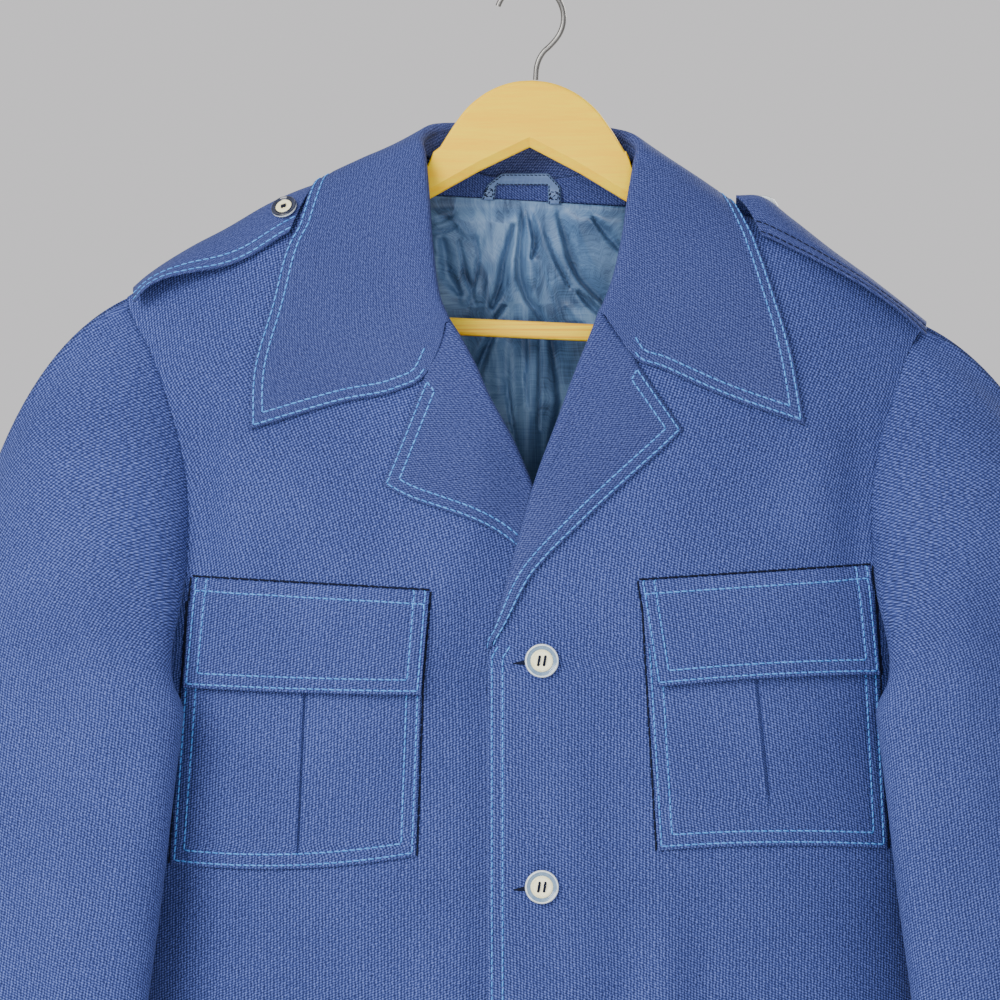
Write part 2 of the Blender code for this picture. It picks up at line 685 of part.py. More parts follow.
def sleeve_grid(side):
    """A sleeve's outer surface: the cap from the armhole to the first ring, then the rings."""
    columns = []
    for start, turn in armhole_loop(side):
        start = start + np.array([side * SLEEVE_GAP, 0, 0])
        end = ring_point(side, SLEEVE_RINGS[0], turn)
        leave = unit(np.array([straight(LEAVES, "turn", axis, turn) for axis in ("out", "y", "z")]))
        leave[0] *= side
        reach = np.linalg.norm(end - start)
        down = np.array([side * HANG_OUT, 0, -1])
        column = []
        for t in CAP_SHARES:
            point = (
                start * (1 + 2 * t) * (1 - t) ** 2
                + end * t**2 * (3 - 2 * t)
                + reach * t * (1 - t) * (LEAVE_PULL * leave * (1 - t) - HANG_PULL * down * t)
            )
            gap = SEAM_GAP + SIDE_CLEAR * float(step(0, CAP_SHARES[2], t))
            gap *= float(step(*SIDE_CLEAR_Z, point[2]))
            column.append(clear_of_side(point, gap) if gap > 0 else point)
        column += [ring_point(side, ring, turn) for ring in SLEEVE_RINGS]
        columns.append(column)
    return np.array(columns).swapaxes(0, 1)


# ---- turned-back pieces ----
ROLL_TURNS = [-90, -45, 0, 45, 90]
LAPEL_ROWS = 13
LAPEL_SHARES = [0.22, 0.45, 0.7, 0.88, 1.0]
LAPEL_PUFF = 1.0  # how far the middle of a lapel stands up
LAPEL_RETURN = 0.4  # most of the lapel's width that the return inside may be


def lapel_grid(side):
    """A lapel's outer surface: a return inside, the roll, then out to the lapel's edge."""
    table = LAPELS[side]
    centre = -WALL / 2
    grid = []
    for place in np.linspace(table[0].at, table[-1].at, LAPEL_ROWS):
        roll_z = float(smooth(table, "at", "roll_z", place))
        out = np.array([float(smooth(table, "at", field, place)) for field in ("out_x", "out_z")])
        start = np.array([float(roll_x(side, roll_z)), roll_z])
        across = out - start
        width = np.linalg.norm(across)
        across /= width
        sections = [(ROLL_RADIUS + min(ROLL_RETURN, width * LAPEL_RETURN), centre - ROLL_RADIUS)]
        for turn in ROLL_TURNS:
            a = math.radians(turn)
            sections.append((ROLL_RADIUS * (1 - math.cos(a)), centre + ROLL_RADIUS * math.sin(a)))
        flat = LIE_GAP + TURNED_WALL
        rise = centre + ROLL_RADIUS - flat
        for share in LAPEL_SHARES:
            reach = ROLL_RADIUS + (width - ROLL_RADIUS) * share
            sections.append((reach, flat + rise * (1 - share) ** 2 + LAPEL_PUFF * math.sin(math.pi * share)))
        places = np.array([start + across * e for e, _ in sections])
        lifts = np.array([n for _, n in sections])
        grid.append(on_front(side, places[:, 0], places[:, 1], lifts))
    return np.array(grid)


def clear_of_body(points, lift):
    """Points pushed out wherever they lie closer to the body than lift."""
    out = points.copy()
    for point in out:
        x, y, z = point
        if z > shoulder_z(x):
            continue
        face = FRONT if y < 0 else BACK
        needed = float(depth(x, z, face)) + SEAM_GAP / 2 + lift
        point[1] = face * soft_max(abs(y), needed)
    return out


Rounding = namedtuple("Rounding", "at by")
CHEST_TO_NECK = (0.36, 0.58)  # places between which the collar leaves the chest and stands free
ALONG_STEP = 0.02  # for reading the roll's direction
LAID_AFTER = 14.0  # how far from the roll the collar lies on the chest
NECK_SEAM_IN = 3.4  # how far inside the roll the stand is sewn to a front
FALL_SHARES = [0.12, 0.26, 0.42, 0.58, 0.74, 0.88, 1.0]
FALL_PUFF = 2.5  # how far the middle of the fall stands up
END_BEND = 0.3  # place up to which rows take the shape of the free end


def collar_row(side, at):
    """One row of the collar, from where the stand is sewn on, over the roll, to the outer edge."""
    table = COLLARS[side]
    read = lambda value, place=at: float(smooth(table, "at", value, place))
    rounds = []
    for row in table:
        drop = float(shoulder_z(row.out_x)) - row.out_z
        rounds.append(Rounding(row.at, -row.face * math.sqrt(drop)))
    round_by = float(smooth(rounds, "at", "by", at))
    on_chest = 1 - step(*CHEST_TO_NECK, at)

    def roll(place):
        x, z = read("roll_x", place), read("roll_z", place)
        chest = 1 - step(*CHEST_TO_NECK, place)
        laid = -float(depth(x, z, FRONT)) - SEAM_GAP / 2 + WALL / 2
        return np.array([x, chest * laid + (1 - chest) * read("roll_y", place), z])

    start = roll(at)
    edge = over_shoulder(read("out_x"), round_by, read("lift"))
    along = unit(roll(min(at + ALONG_STEP, 1.0)) - roll(max(at - ALONG_STEP, 0.0)))
    across = unit(edge - start)
    near = start + across * LAID_AFTER
    laid_on = unit(on_body(near[0], near[2], FRONT, -WALL / 2) - start)
    across = unit(across * (1 - on_chest) + laid_on * on_chest)
    normal = side * unit(np.cross(across, along))
    seam_x, seam_in = start[0] + side * (ROLL_RADIUS + NECK_SEAM_IN), WALL / 2 + ROLL_RADIUS + ROLL_CLEAR
    neck_chest = on_body(seam_x, start[2], FRONT, -seam_in)
    neck = on_chest * neck_chest + (1 - on_chest) * np.array([read("neck_x"), read("neck_y"), read("neck_z")])
    bottom = start + across * ROLL_RADIUS - normal * ROLL_RADIUS
    points = [neck, (neck + bottom) / 2]
    for turn in ROLL_TURNS:
        a = math.radians(turn)
        points.append(start + across * ROLL_RADIUS * (1 - math.cos(a)) + normal * ROLL_RADIUS * math.sin(a))
    top = points[-1]
    bend = (1 - np.clip(at / END_BEND, 0, 1)) ** 2
    ends = COLLAR_ENDS[side]
    fall = []
    for share in FALL_SHARES:
        point = top + (edge - top) * share + normal * FALL_PUFF * math.sin(math.pi * share)
        if bend > 0:
            end = np.array([float(smooth(ends, "share", axis, share)) for axis in ("x", "z")])
            base, tip = np.array([ends[0].x, ends[0].z]), np.array([ends[-1].x, ends[-1].z])
            shift = (end - (base + (tip - base) * share)) * bend
            point = point + np.array([shift[0], 0, shift[1]])
        fall.append(point)
    least = LIE_GAP + TURNED_WALL
    points += list(clear_of_body(np.array(fall), least))
    return np.array(points)


COLLAR_PLACES = [0, 0.06, 0.13, 0.2, 0.28, 0.36, 0.44, 0.51, 0.58, 0.65, 0.73, 0.81, 0.9, 1.0]


def collar_grid():
    """The whole collar, from one gorge seam round the neck to the other."""
    left = [collar_row(WEARERS_LEFT, at) for at in COLLAR_PLACES]
    right = [collar_row(WEARERS_RIGHT, at) for at in COLLAR_PLACES[:-1]]
    return np.array(right + left[::-1])


# ---- pockets, flaps, straps ----
def patch_place(patch, u, v):
    """A place on a patch: u from the inner edge out, v from the top down."""
    top = np.array(patch.top_in) + (np.array(patch.top_out) - patch.top_in) * u
    low_in, low_out, low_mid = (np.array(p) for p in (patch.low_in, patch.low_out, patch.low_mid))
    low = low_in + (low_out - low_in) * u
    mid_u = (low_mid[0] - low_in[0]) / (low_out[0] - low_in[0])
    dip = low_mid[1] - (low_in[1] + (low_out[1] - low_in[1]) * mid_u)
    low[1] += dip * (1 - abs(u - mid_u) / max(mid_u, 1 - mid_u))
    return top + (low - top) * v


POCKET_U = [0, 0.12, 0.25, 0.38, 0.46, 0.5, 0.54, 0.62, 0.75, 0.88, 1]
FLAP_U = [0, 0.12, 0.25, 0.38, 0.5, 0.62, 0.75, 0.88, 1]


def pocket_lift(u, v):
    """Height of a pocket's outer surface over the front."""
    down = min(1, PUFF_FROM + (1 - PUFF_FROM) * v)
    puff = POCKET_PUFF * math.sin(math.pi * u) * math.sin(math.pi * down)
    aside = (u - PLEAT_AT) * POCKET_WIDTH / PLEAT_HALF
    pleat = PLEAT_DEEP * math.exp(-(aside**2)) * float(step(0, PLEAT_FOOT, 1 - v))
    return LIE_GAP + POCKET_WALL + puff - min(pleat, puff * PLEAT_LEAST)


def pocket_grid(side):
    rows = []
    for v in shares(POCKET_ROWS):
        spots = np.array([patch_place(POCKETS[side], u, v) for u in POCKET_U])
        lifts = np.array([pocket_lift(u, v) for u in POCKET_U])
        rows.append(on_front(side, spots[:, 0], spots[:, 1], lifts))
    return np.array(rows)


def flap_grid(side):
    rows = []
    for v in FLAP_SHARES:
        spots = np.array([patch_place(FLAPS[side], u, v) for u in FLAP_U])
        risen = float(step(0, FLAP_RISE, v))
        over = np.array([pocket_lift(u, FLAP_REACH * v) for u in FLAP_U]) + FLAP_FLARE * v**2
        over += (LIE_GAP + FLAP_WALL) * risen + (FLAP_WALL - POCKET_WALL) * (1 - risen)
        rows.append(on_front(side, spots[:, 0], spots[:, 1], over))
    return np.array(rows)


def strap_point(side, out, across):
    """A point on a shoulder strap: across runs from -1 behind the shoulder line to 1 in front."""
    read = lambda value: float(smooth(STRAPS[side], "out", value, out))
    reach, drop = ("front_y", "front_drop") if across > 0 else ("back_y", "back_drop")
    y = -math.copysign(read(reach) * abs(across), across)
    z = float(shoulder_z(side * out)) + read("lift") - read(drop) * across**2
    return np.array([side * out, y, z])


STRAP_ACROSS = [-1, -0.5, 0, 0.35, 0.7, 1]
STRAP_ROWS = 11
STRAP_SLANT = 15.0  # how much further out the strap's end starts in front, along the collar's edge


def strap_grid(side):
    first, last = STRAPS[side][0].out, STRAPS[side][-1].out
    rows = []
    for share in shares(STRAP_ROWS):
        row = []
        for across in STRAP_ACROSS:
            start = first + STRAP_SLANT * max(across, 0) ** 1.5
            row.append(strap_point(side, start + (last - start) * share, across))
        rows.append(row)
    return np.array(rows)


# ---- buttons ----
Turning = namedtuple("Turning", "radius height")


def button_profile(radius):
    """A button's half section: a flat foot, a round rim and a sunk middle."""
    return [
        Turning(0, 0),
        Turning(radius * 0.8, 0),
        Turning(radius, 1.3),
        Turning(radius * 0.93, 2.9),
        Turning(radius * 0.72, 2.9),
        Turning(radius * 0.62, 2.1),
        Turning(0, 2.1),
    ]


def add_button(name, radius, place, facing, finish, collection):
    """A turned button whose foot is at a place and whose face looks along facing."""
    mesh = bpy.data.meshes.new(name)
    profile = button_profile(radius)
    points = [(p.radius * MM, 0, p.height * MM) for p in profile]
    mesh.from_pydata(points, [(i, i + 1) for i in range(len(points) - 1)], [])
    ob = add_object(name, mesh, finish, collection)
    screw = ob.modifiers.new("turned", "SCREW")
    screw.steps = screw.render_steps = 18
    screw.use_merge_vertices = True
    screw.merge_threshold = 0.00005
    screw.use_normal_calculate = True
    ob.rotation_mode = "QUATERNION"
    ob.rotation_quaternion = Vector((0, 0, 1)).rotation_difference(Vector(facing))
    ob.location = Vector(place) * MM
    return ob


# ---- hanger ----
def hanger_top_z(x):
    """The hanger's upper edge: a round crown that runs out into the shoulders of the jacket."""
    if abs(x - CROWN_X) > CROWN_HALF + 0.1:
        return float(shoulder_z(x)) - UNDER_CLOTH
    return float(smooth(CROWN, "off", "z", abs(x - CROWN_X))) + HANGER_TILT / 2 * (x - CROWN_X)


def corner_point(x, z, turn, up):
    """A point on one of the arms' rounded corners, whose centre's height is z."""
    a = math.radians(turn)
    flat = HANGER_HALF_DEPTH - HANGER_CORNER
    return (x, math.copysign(flat, turn) + HANGER_CORNER * math.sin(a), z + up * HANGER_CORNER * math.cos(a))


def hanger_grid():
    """Rings round the hanger's arms, from one tip to the other."""
    rings = []
    round_off = [-76, -45, -15, 15, 45, 76]
    crown = CROWN_X + CROWN_HALF * np.sin(np.linspace(-1, 1, 15) * math.pi / 2)
    arm = [61, 70, 80, 95, 110, 125, 140, 155, BAR_REACH + 0.3, BAR_REACH + 1.4, 188, 197, HANGER_REACH]
    for x in [-out for out in reversed(arm)] + list(crown) + arm:
        top = hanger_top_z(x)
        low = straight(HANGER_LOW, "out", "low_z", abs(x)) + HANGER_TILT * x * 0.5
        ring = []
        for turn in round_off:
            ring.append(corner_point(x, top - HANGER_CORNER, turn, 1))
        for turn in reversed(round_off):
            ring.append(corner_point(x, low + HANGER_CORNER, turn, -1))
        rings.append(ring)
    return np.array(rings)


def add_loft(name, grid, finish, collection):
    """A solid through closed rings, with flat ends."""
    rings, count = grid.shape[:2]
    faces = quad_faces(rings, count, True)
    faces.append(tuple(range(count))[::-1])
    faces.append(tuple((rings - 1) * count + i for i in range(count)))
    mesh = bpy.data.meshes.new(name)
    mesh.from_pydata((grid.reshape(-1, 3) * MM).tolist(), [], faces)
    face_out(mesh)
    return add_object(name, mesh, finish, collection)


def face_out(mesh):
    """Turns a closed mesh's faces outwards."""
    shape = bmesh.new()
    shape.from_mesh(mesh)
    bmesh.ops.recalc_face_normals(shape, faces=shape.faces)
    shape.to_mesh(mesh)
    shape.free()


def add_bar(collection):
    """The hanger's cross bar, between the two arms."""
    mesh = bpy.data.meshes.new("hanger_bar")
    shape = bmesh.new()
    bmesh.ops.create_cone(
        shape,
        cap_ends=True,
        segments=20,
        radius1=BAR_RADIUS * MM,
        radius2=BAR_RADIUS * MM,
        depth=2 * BAR_REACH * MM,
    )
    shape.to_mesh(mesh)
    shape.free()
    ob = add_object("hanger_bar", mesh, "wood", collection)
    ob.rotation_euler = (0, math.pi / 2 - math.atan(HANGER_TILT), 0)
    ob.location = (0, 0, BAR_Z * MM)
    return ob


def hook_path():
    """The hook's centre line, from the wood up the stem and round to the tip."""
    path = [(STEM_X, STEM_FOOT_Z), (4.0, -48), (6.0, -41.5), (11.5, -35)]
    for turn in range(-32, 166, 12):
        a = math.radians(turn)
        path.append((HOOK_RADIUS * math.cos(a), HOOK_Z + HOOK_RADIUS * math.sin(a)))
    return path


def add_hook(collection):
    curve = bpy.data.curves.new("hanger_hook", "CURVE")
    curve.dimensions = "3D"
    curve.bevel_depth = HOOK_WIRE * MM
    curve.bevel_resolution = 2
    curve.use_fill_caps = True
    path = hook_path()
    line = curve.splines.new("POLY")
    line.points.add(len(path) - 1)
    for point, (x, z) in zip(line.points, path):
        point.co = (x * MM, 0, z * MM, 1)
    curve.materials.append(finish_of("steel"))
    ob = bpy.data.objects.new("hanger_hook", curve)
    collection.objects.link(ob)
    return ob


# ---- inside the neck ----
def lining_edge_z(x):
    return LINING_TOP_Z + LINING_TOP_TILT * x


def lining_top(x):
    """The lining's upper edge: straight across the neck, then below the shoulder line."""
    shoulder = shoulder_z(x) - LINING_BELOW_SHOULDER
    return np.minimum(lining_edge_z(x) - LINING_BELOW_SEAM, np.where(np.abs(x) < NECK_HALF, 0, shoulder))


LiningFold = namedtuple("LiningFold", "x0 z0 x1 z1 half_width out")
LINING_FOLDS = [
    LiningFold(-3, -128, -1, -330, 7, 5.0),
    LiningFold(16, -138, 46, -215, 9, 4.0),
    LiningFold(-16, -150, -30, -230, 9, 4.5),
]


def lining_grid():
    """The back lining's visible surface, just inside the back panel."""
    grid = back_grid(lining_top, LINING_HEM_Z, inset=LINING_INSET, sink=WALL + LINING_SINK + LINING_WALL)
    for point in grid.reshape(-1, 3):
        for fold in LINING_FOLDS:
            run = np.array([fold.x1 - fold.x0, fold.z1 - fold.z0])
            length = np.linalg.norm(run)
            along = ((point[0] - fold.x0) * run[0] + (point[2] - fold.z0) * run[1]) / length**2
            aside = ((point[0] - fold.x0) * run[1] - (point[2] - fold.z0) * run[0]) / length
            ends = float(step(0, 0.2, along) * step(1, 0.8, along))
            point[1] -= fold.out * math.exp(-((aside / fold.half_width) ** 2)) * ends
    return grid


def facing_grid():
    """The back-neck facing, between the collar's stand and the lining."""
    rows = []
    for share in FACING_SHARES:
        x = np.linspace(-FACING_HALF, FACING_HALF, FACING_COLUMNS)
        top = back_top(x) - FACING_BELOW_NECK
        low = lining_edge_z(x)
        z = top + (low - top) * share
        rows.append(on_body(x, z, BACK, -WALL - FACING_SINK - LINING_WALL))
    return np.array(rows)


def loop_grid():
    """The hang loop: a flat strip that stands up from the seam, its two ends sewn in."""
    path = np.array([(p.x, p.z) for p in LOOP_PATH])
    tangents = np.gradient(path, axis=0)
    rows = []
    for spot, tangent in zip(path, tangents):
        aside = np.array([-tangent[1], tangent[0]]) / np.linalg.norm(tangent)
        row = []
        for reach in (-0.5, 0.5):
            x, z = spot + aside * reach * LOOP_WIDTH
            sink = FACING_SINK + (LINING_SINK - FACING_SINK) * float(step(*LOOP_SEWN_Z, z))
            row.append(on_body(x, z, BACK, -WALL - sink - LINING_WALL - LIE_GAP - LOOP_WALL))
        rows.append(row)
    return np.array(rows)


def surface_normal(point_at, u, v, du, dv):
    """A surface's unit normal at (u, v), from two small steps along it."""
    a = point_at(u + du, v) - point_at(u - du, v)
    b = point_at(u, v + dv) - point_at(u, v - dv)
    return unit(np.cross(a, b))


def build():
    for ob in list(bpy.data.objects):
        bpy.data.objects.remove(ob)
    jacket = bpy.data.collections.new("safari_jacket")
    bpy.context.scene.collection.children.link(jacket)

    for side, name in SIDE_NAMES.items():
        is_left = side == WEARERS_LEFT
        add_wall(f"front_{name}", front_grid(side), WALL, "knit", jacket, flip=not is_left)
        add_wall(f"sleeve_{name}", sleeve_grid(side), WALL, "knit", jacket, closed=True, flip=is_left)
        add_wall(f"lapel_{name}", lapel_grid(side), TURNED_WALL, "knit", jacket, flip=is_left)
        add_wall(f"pocket_{name}", pocket_grid(side), POCKET_WALL, "knit", jacket, flip=not is_left)
        add_wall(f"flap_{name}", flap_grid(side), FLAP_WALL, "knit", jacket, flip=not is_left)
        add_wall(f"strap_{name}", strap_grid(side), TURNED_WALL, "knit", jacket, flip=is_left)
        place = lambda out, across: strap_point(side, out, across)
        out, across, seat_gap = STRAP_BUTTONS[side]
        facing = surface_normal(place, out, across, 2.0, 0.05)
        facing *= math.copysign(1, facing[2])
        seat = place(out, across) + facing * seat_gap
        add_button(f"strap_button_{name}", STRAP_BUTTON_RADIUS, seat, facing, "pearl", jacket)
    add_wall("back", back_grid(back_top, HEM_Z), WALL, "knit", jacket, flip=True)
    add_wall("collar", collar_grid(), TURNED_WALL, "knit", jacket)
    add_wall("lining_back", lining_grid(), LINING_WALL, "satin", jacket)
    add_wall("neck_facing", facing_grid(), LINING_WALL, "knit", jacket)
    add_wall("hang_loop", loop_grid(), LOOP_WALL, "satin", jacket)
    for number in range(BUTTON_COUNT):
        z = BUTTON_TOP_Z - BUTTON_PITCH * number
        seat = on_front(WEARERS_LEFT, BUTTON_X, z, LIE_GAP)
        add_button(f"button_{number + 1}", BUTTON_RADIUS, seat, (0, -1, 0), "pearl", jacket)
    add_loft("hanger_arms", hanger_grid(), "wood", jacket)
    add_bar(jacket)
    add_hook(jacket)


build()
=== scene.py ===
"""Safari jacket on a wooden hanger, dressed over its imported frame.

Each cut piece is a thin shell on the surface that its CAD solid stands for: a fine grid of points in
millimetres, with its creases and pressed seams moved into it, then given its wall. The topstitching
is real stitches, joined into one mesh for each thread. The front faces -Y and the wearer's left is +X.
"""

import bisect
import logging
import math
from dataclasses import dataclass, field
from enum import Enum, IntEnum
from typing import Any, Callable, Iterable, Optional, Sequence

import bmesh
import bpy
import numpy as np
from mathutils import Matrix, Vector


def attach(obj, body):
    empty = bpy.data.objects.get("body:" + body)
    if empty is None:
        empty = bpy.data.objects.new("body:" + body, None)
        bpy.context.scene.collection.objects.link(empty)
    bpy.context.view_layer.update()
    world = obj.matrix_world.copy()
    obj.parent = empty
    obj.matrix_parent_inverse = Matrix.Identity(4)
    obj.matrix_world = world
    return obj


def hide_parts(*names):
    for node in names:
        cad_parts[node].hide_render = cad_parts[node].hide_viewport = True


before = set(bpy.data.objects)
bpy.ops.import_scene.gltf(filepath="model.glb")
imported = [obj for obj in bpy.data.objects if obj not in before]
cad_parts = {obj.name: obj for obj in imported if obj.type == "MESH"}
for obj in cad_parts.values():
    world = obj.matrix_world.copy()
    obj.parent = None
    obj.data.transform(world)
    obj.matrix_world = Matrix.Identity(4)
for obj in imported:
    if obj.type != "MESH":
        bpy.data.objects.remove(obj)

logging.basicConfig(level=logging.INFO, format="%(message)s")
LOG = logging.getLogger("jacket")
MM = 0.001
BODY = "root"
CLOTH_UV = "Cloth"
# millimetres from an edge in which the cloth turns round it, and half the width of a row's groove
TURN_IN = 1.2
GROOVE = 1.15
# the thickest a turned edge goes down, as a share of the wall
TURN_DEEP = 0.7
# degrees between two columns of points round a roll
ROLL_STEP = 18
# places in millimetres from a stitched edge and on both sides of a pleat's line, and how far each reaches
BAND = (0, 0.25, 0.6, 1.1, 1.8, 2.4, 3, 3.6, 4.4, 5.6, 7, 8.2, 8.9, 9.5, 10.1, 11, 12.5, 14.5)
BAND_REACH = 15
NEAR = (-7, -4.5, -3, -2, -1.3, -0.8, -0.4, 0, 0.4, 0.8, 1.3, 2, 3, 4.5, 7)
NEAR_REACH = 8

Table = tuple[tuple[float, ...], ...]
Array = np.ndarray
Rule = Callable[[Any], Any]


class Side(IntEnum):
    """The wearer's side, as the sign of x."""

    RIGHT = -1
    LEFT = 1

    @property
    def word(self) -> str:
        """The side's name in a node's name."""
        return self.name.lower()


class Face(IntEnum):
    """The front or the back of the body, as the sign of y."""

    FRONT = -1
    BACK = 1


class Edge(Enum):
    """One of the four edges of a grid of points."""

    FIRST_COLUMN = "first column"
    LAST_COLUMN = "last column"
    FIRST_ROW = "first row"
    LAST_ROW = "last row"


class Slot(Enum):
    """The record's material slots."""

    KNIT = "knit"
    SATIN = "satin"
    PEARL = "pearl"
    WOOD = "wood"
    STEEL = "steel"


# ---- small mathematics ----
def curve(table: Table, column: int, at: Any) -> Any:
    """A smooth curve through one column of a table, over its first column.

    Args:
        table: rows of numbers.
        column: the column to read.
        at: where to read it.

    Returns:
        The column's values there.
    """
    rows = np.array(sorted(table), float)
    xs, ys = rows[:, 0], rows[:, column]
    slopes = np.gradient(ys, xs)
    at = np.clip(np.asarray(at, float), xs[0], xs[-1])
    i = np.clip(np.searchsorted(xs, at, side="right") - 1, 0, len(xs) - 2)
    width = xs[i + 1] - xs[i]
    t = (at - xs[i]) / width
    return (
        ys[i] * (1 + 2 * t) * (1 - t) ** 2
        + ys[i + 1] * t**2 * (3 - 2 * t)
        + width * t * (1 - t) * (slopes[i] * (1 - t) - slopes[i + 1] * t)
    )


def lines(table: Table, column: int, at: float) -> float:
    """The same as curve, by straight lines."""
    return float(np.interp(at, [row[0] for row in table], [row[column] for row in table]))


def step(low: float, high: float, at: Any) -> Any:
    """0 below low, 1 above high and a soft change between."""
    t = np.clip((np.asarray(at, float) - low) / (high - low), 0, 1)
    return t * t * (3 - 2 * t)


def unit(v: Array) -> Array:
    """Vectors made one long."""
    return v / np.maximum(np.linalg.norm(v, axis=-1, keepdims=True), 1e-9)


def finer(shares: Sequence[float], times: int) -> Array:
    """A list of shares with each step cut into smaller ones.

    Args:
        shares: the shares.
        times: how many steps each one becomes.

    Returns:
        The finer list.
    """
    places = np.arange((len(shares) - 1) * times + 1) / times
    return np.interp(places, np.arange(len(shares)), shares)


def looking_ahead(points: Array) -> Array:
    """Points with normals that face the front, as rows of six numbers."""
    return np.hstack([points, np.tile([0, -1.0, 0], (len(points), 1))])


def beside(x: Any, z: Any, start: Sequence[float], end: Sequence[float]) -> tuple[Any, Any]:
    """Where places lie against a straight line on the jacket's front or back.

    Args:
        x: the places' x.
        z: their height.
        start: x and z at which the line starts.
        end: x and z at which it ends.

    Returns:
        The share of the way along the line, and the distance from it.
    """
    run = np.array(end, float) - np.array(start, float)
    length = np.linalg.norm(run)
    along = ((x - start[0]) * run[0] + (z - start[1]) * run[1]) / length**2
    return along, ((x - start[0]) * run[1] - (z - start[1]) * run[0]) / length


def by_side(left: Any, right: Any) -> Any:
    """A dataclass field with one value for each of the wearer's sides."""
    sides = {Side.LEFT: left, Side.RIGHT: right}
    return field(default_factory=lambda: dict(sides))


def tube_faces(rings: int, sides: int) -> Array:
    """The four-sided faces of a tube whose points run round it, ring by ring.

    Args:
        rings: the number of rings.
        sides: the number of points in a ring.

    Returns:
        The faces, in rows of four points' numbers.
    """
    j, i = np.meshgrid(np.arange(rings - 1) * sides, np.arange(sides), indexing="ij")
    k = (i + 1) % sides
    return np.stack([j + i, j + k, j + sides + k, j + sides + i], -1).reshape(-1, 4)


def capped(rings: int, sides: int) -> Array:
    """The two end faces of such a tube."""
    return np.stack([np.arange(sides)[::-1], np.arange(sides) + (rings - 1) * sides])


def banded(length: float, first: bool, last: bool, pitch: float, at: Iterable[float] = ()) -> Array:
    """Shares of a length, closer together where an edge is turned and stitched.

    Args:
        length: the length in millimetres.
        first: whether its start is a stitched edge.
        last: whether its end is one.
        pitch: spacing in millimetres elsewhere.
        at: other places in millimetres that need close spacing, such as a pleat.

    Returns:
        Shares from 0 to 1.
    """
    places = set(np.linspace(0, length, max(2, round(length / pitch) + 1)))
    if first:
        places = {p for p in places if p > BAND_REACH} | set(BAND)
    if last:
        places = {p for p in places if p < length - BAND_REACH} | {length - p for p in BAND}
    for centre in at:
        places = {p for p in places if abs(p - centre) > NEAR_REACH} | {centre + s for s in NEAR}
    return np.array(sorted(places)) / length


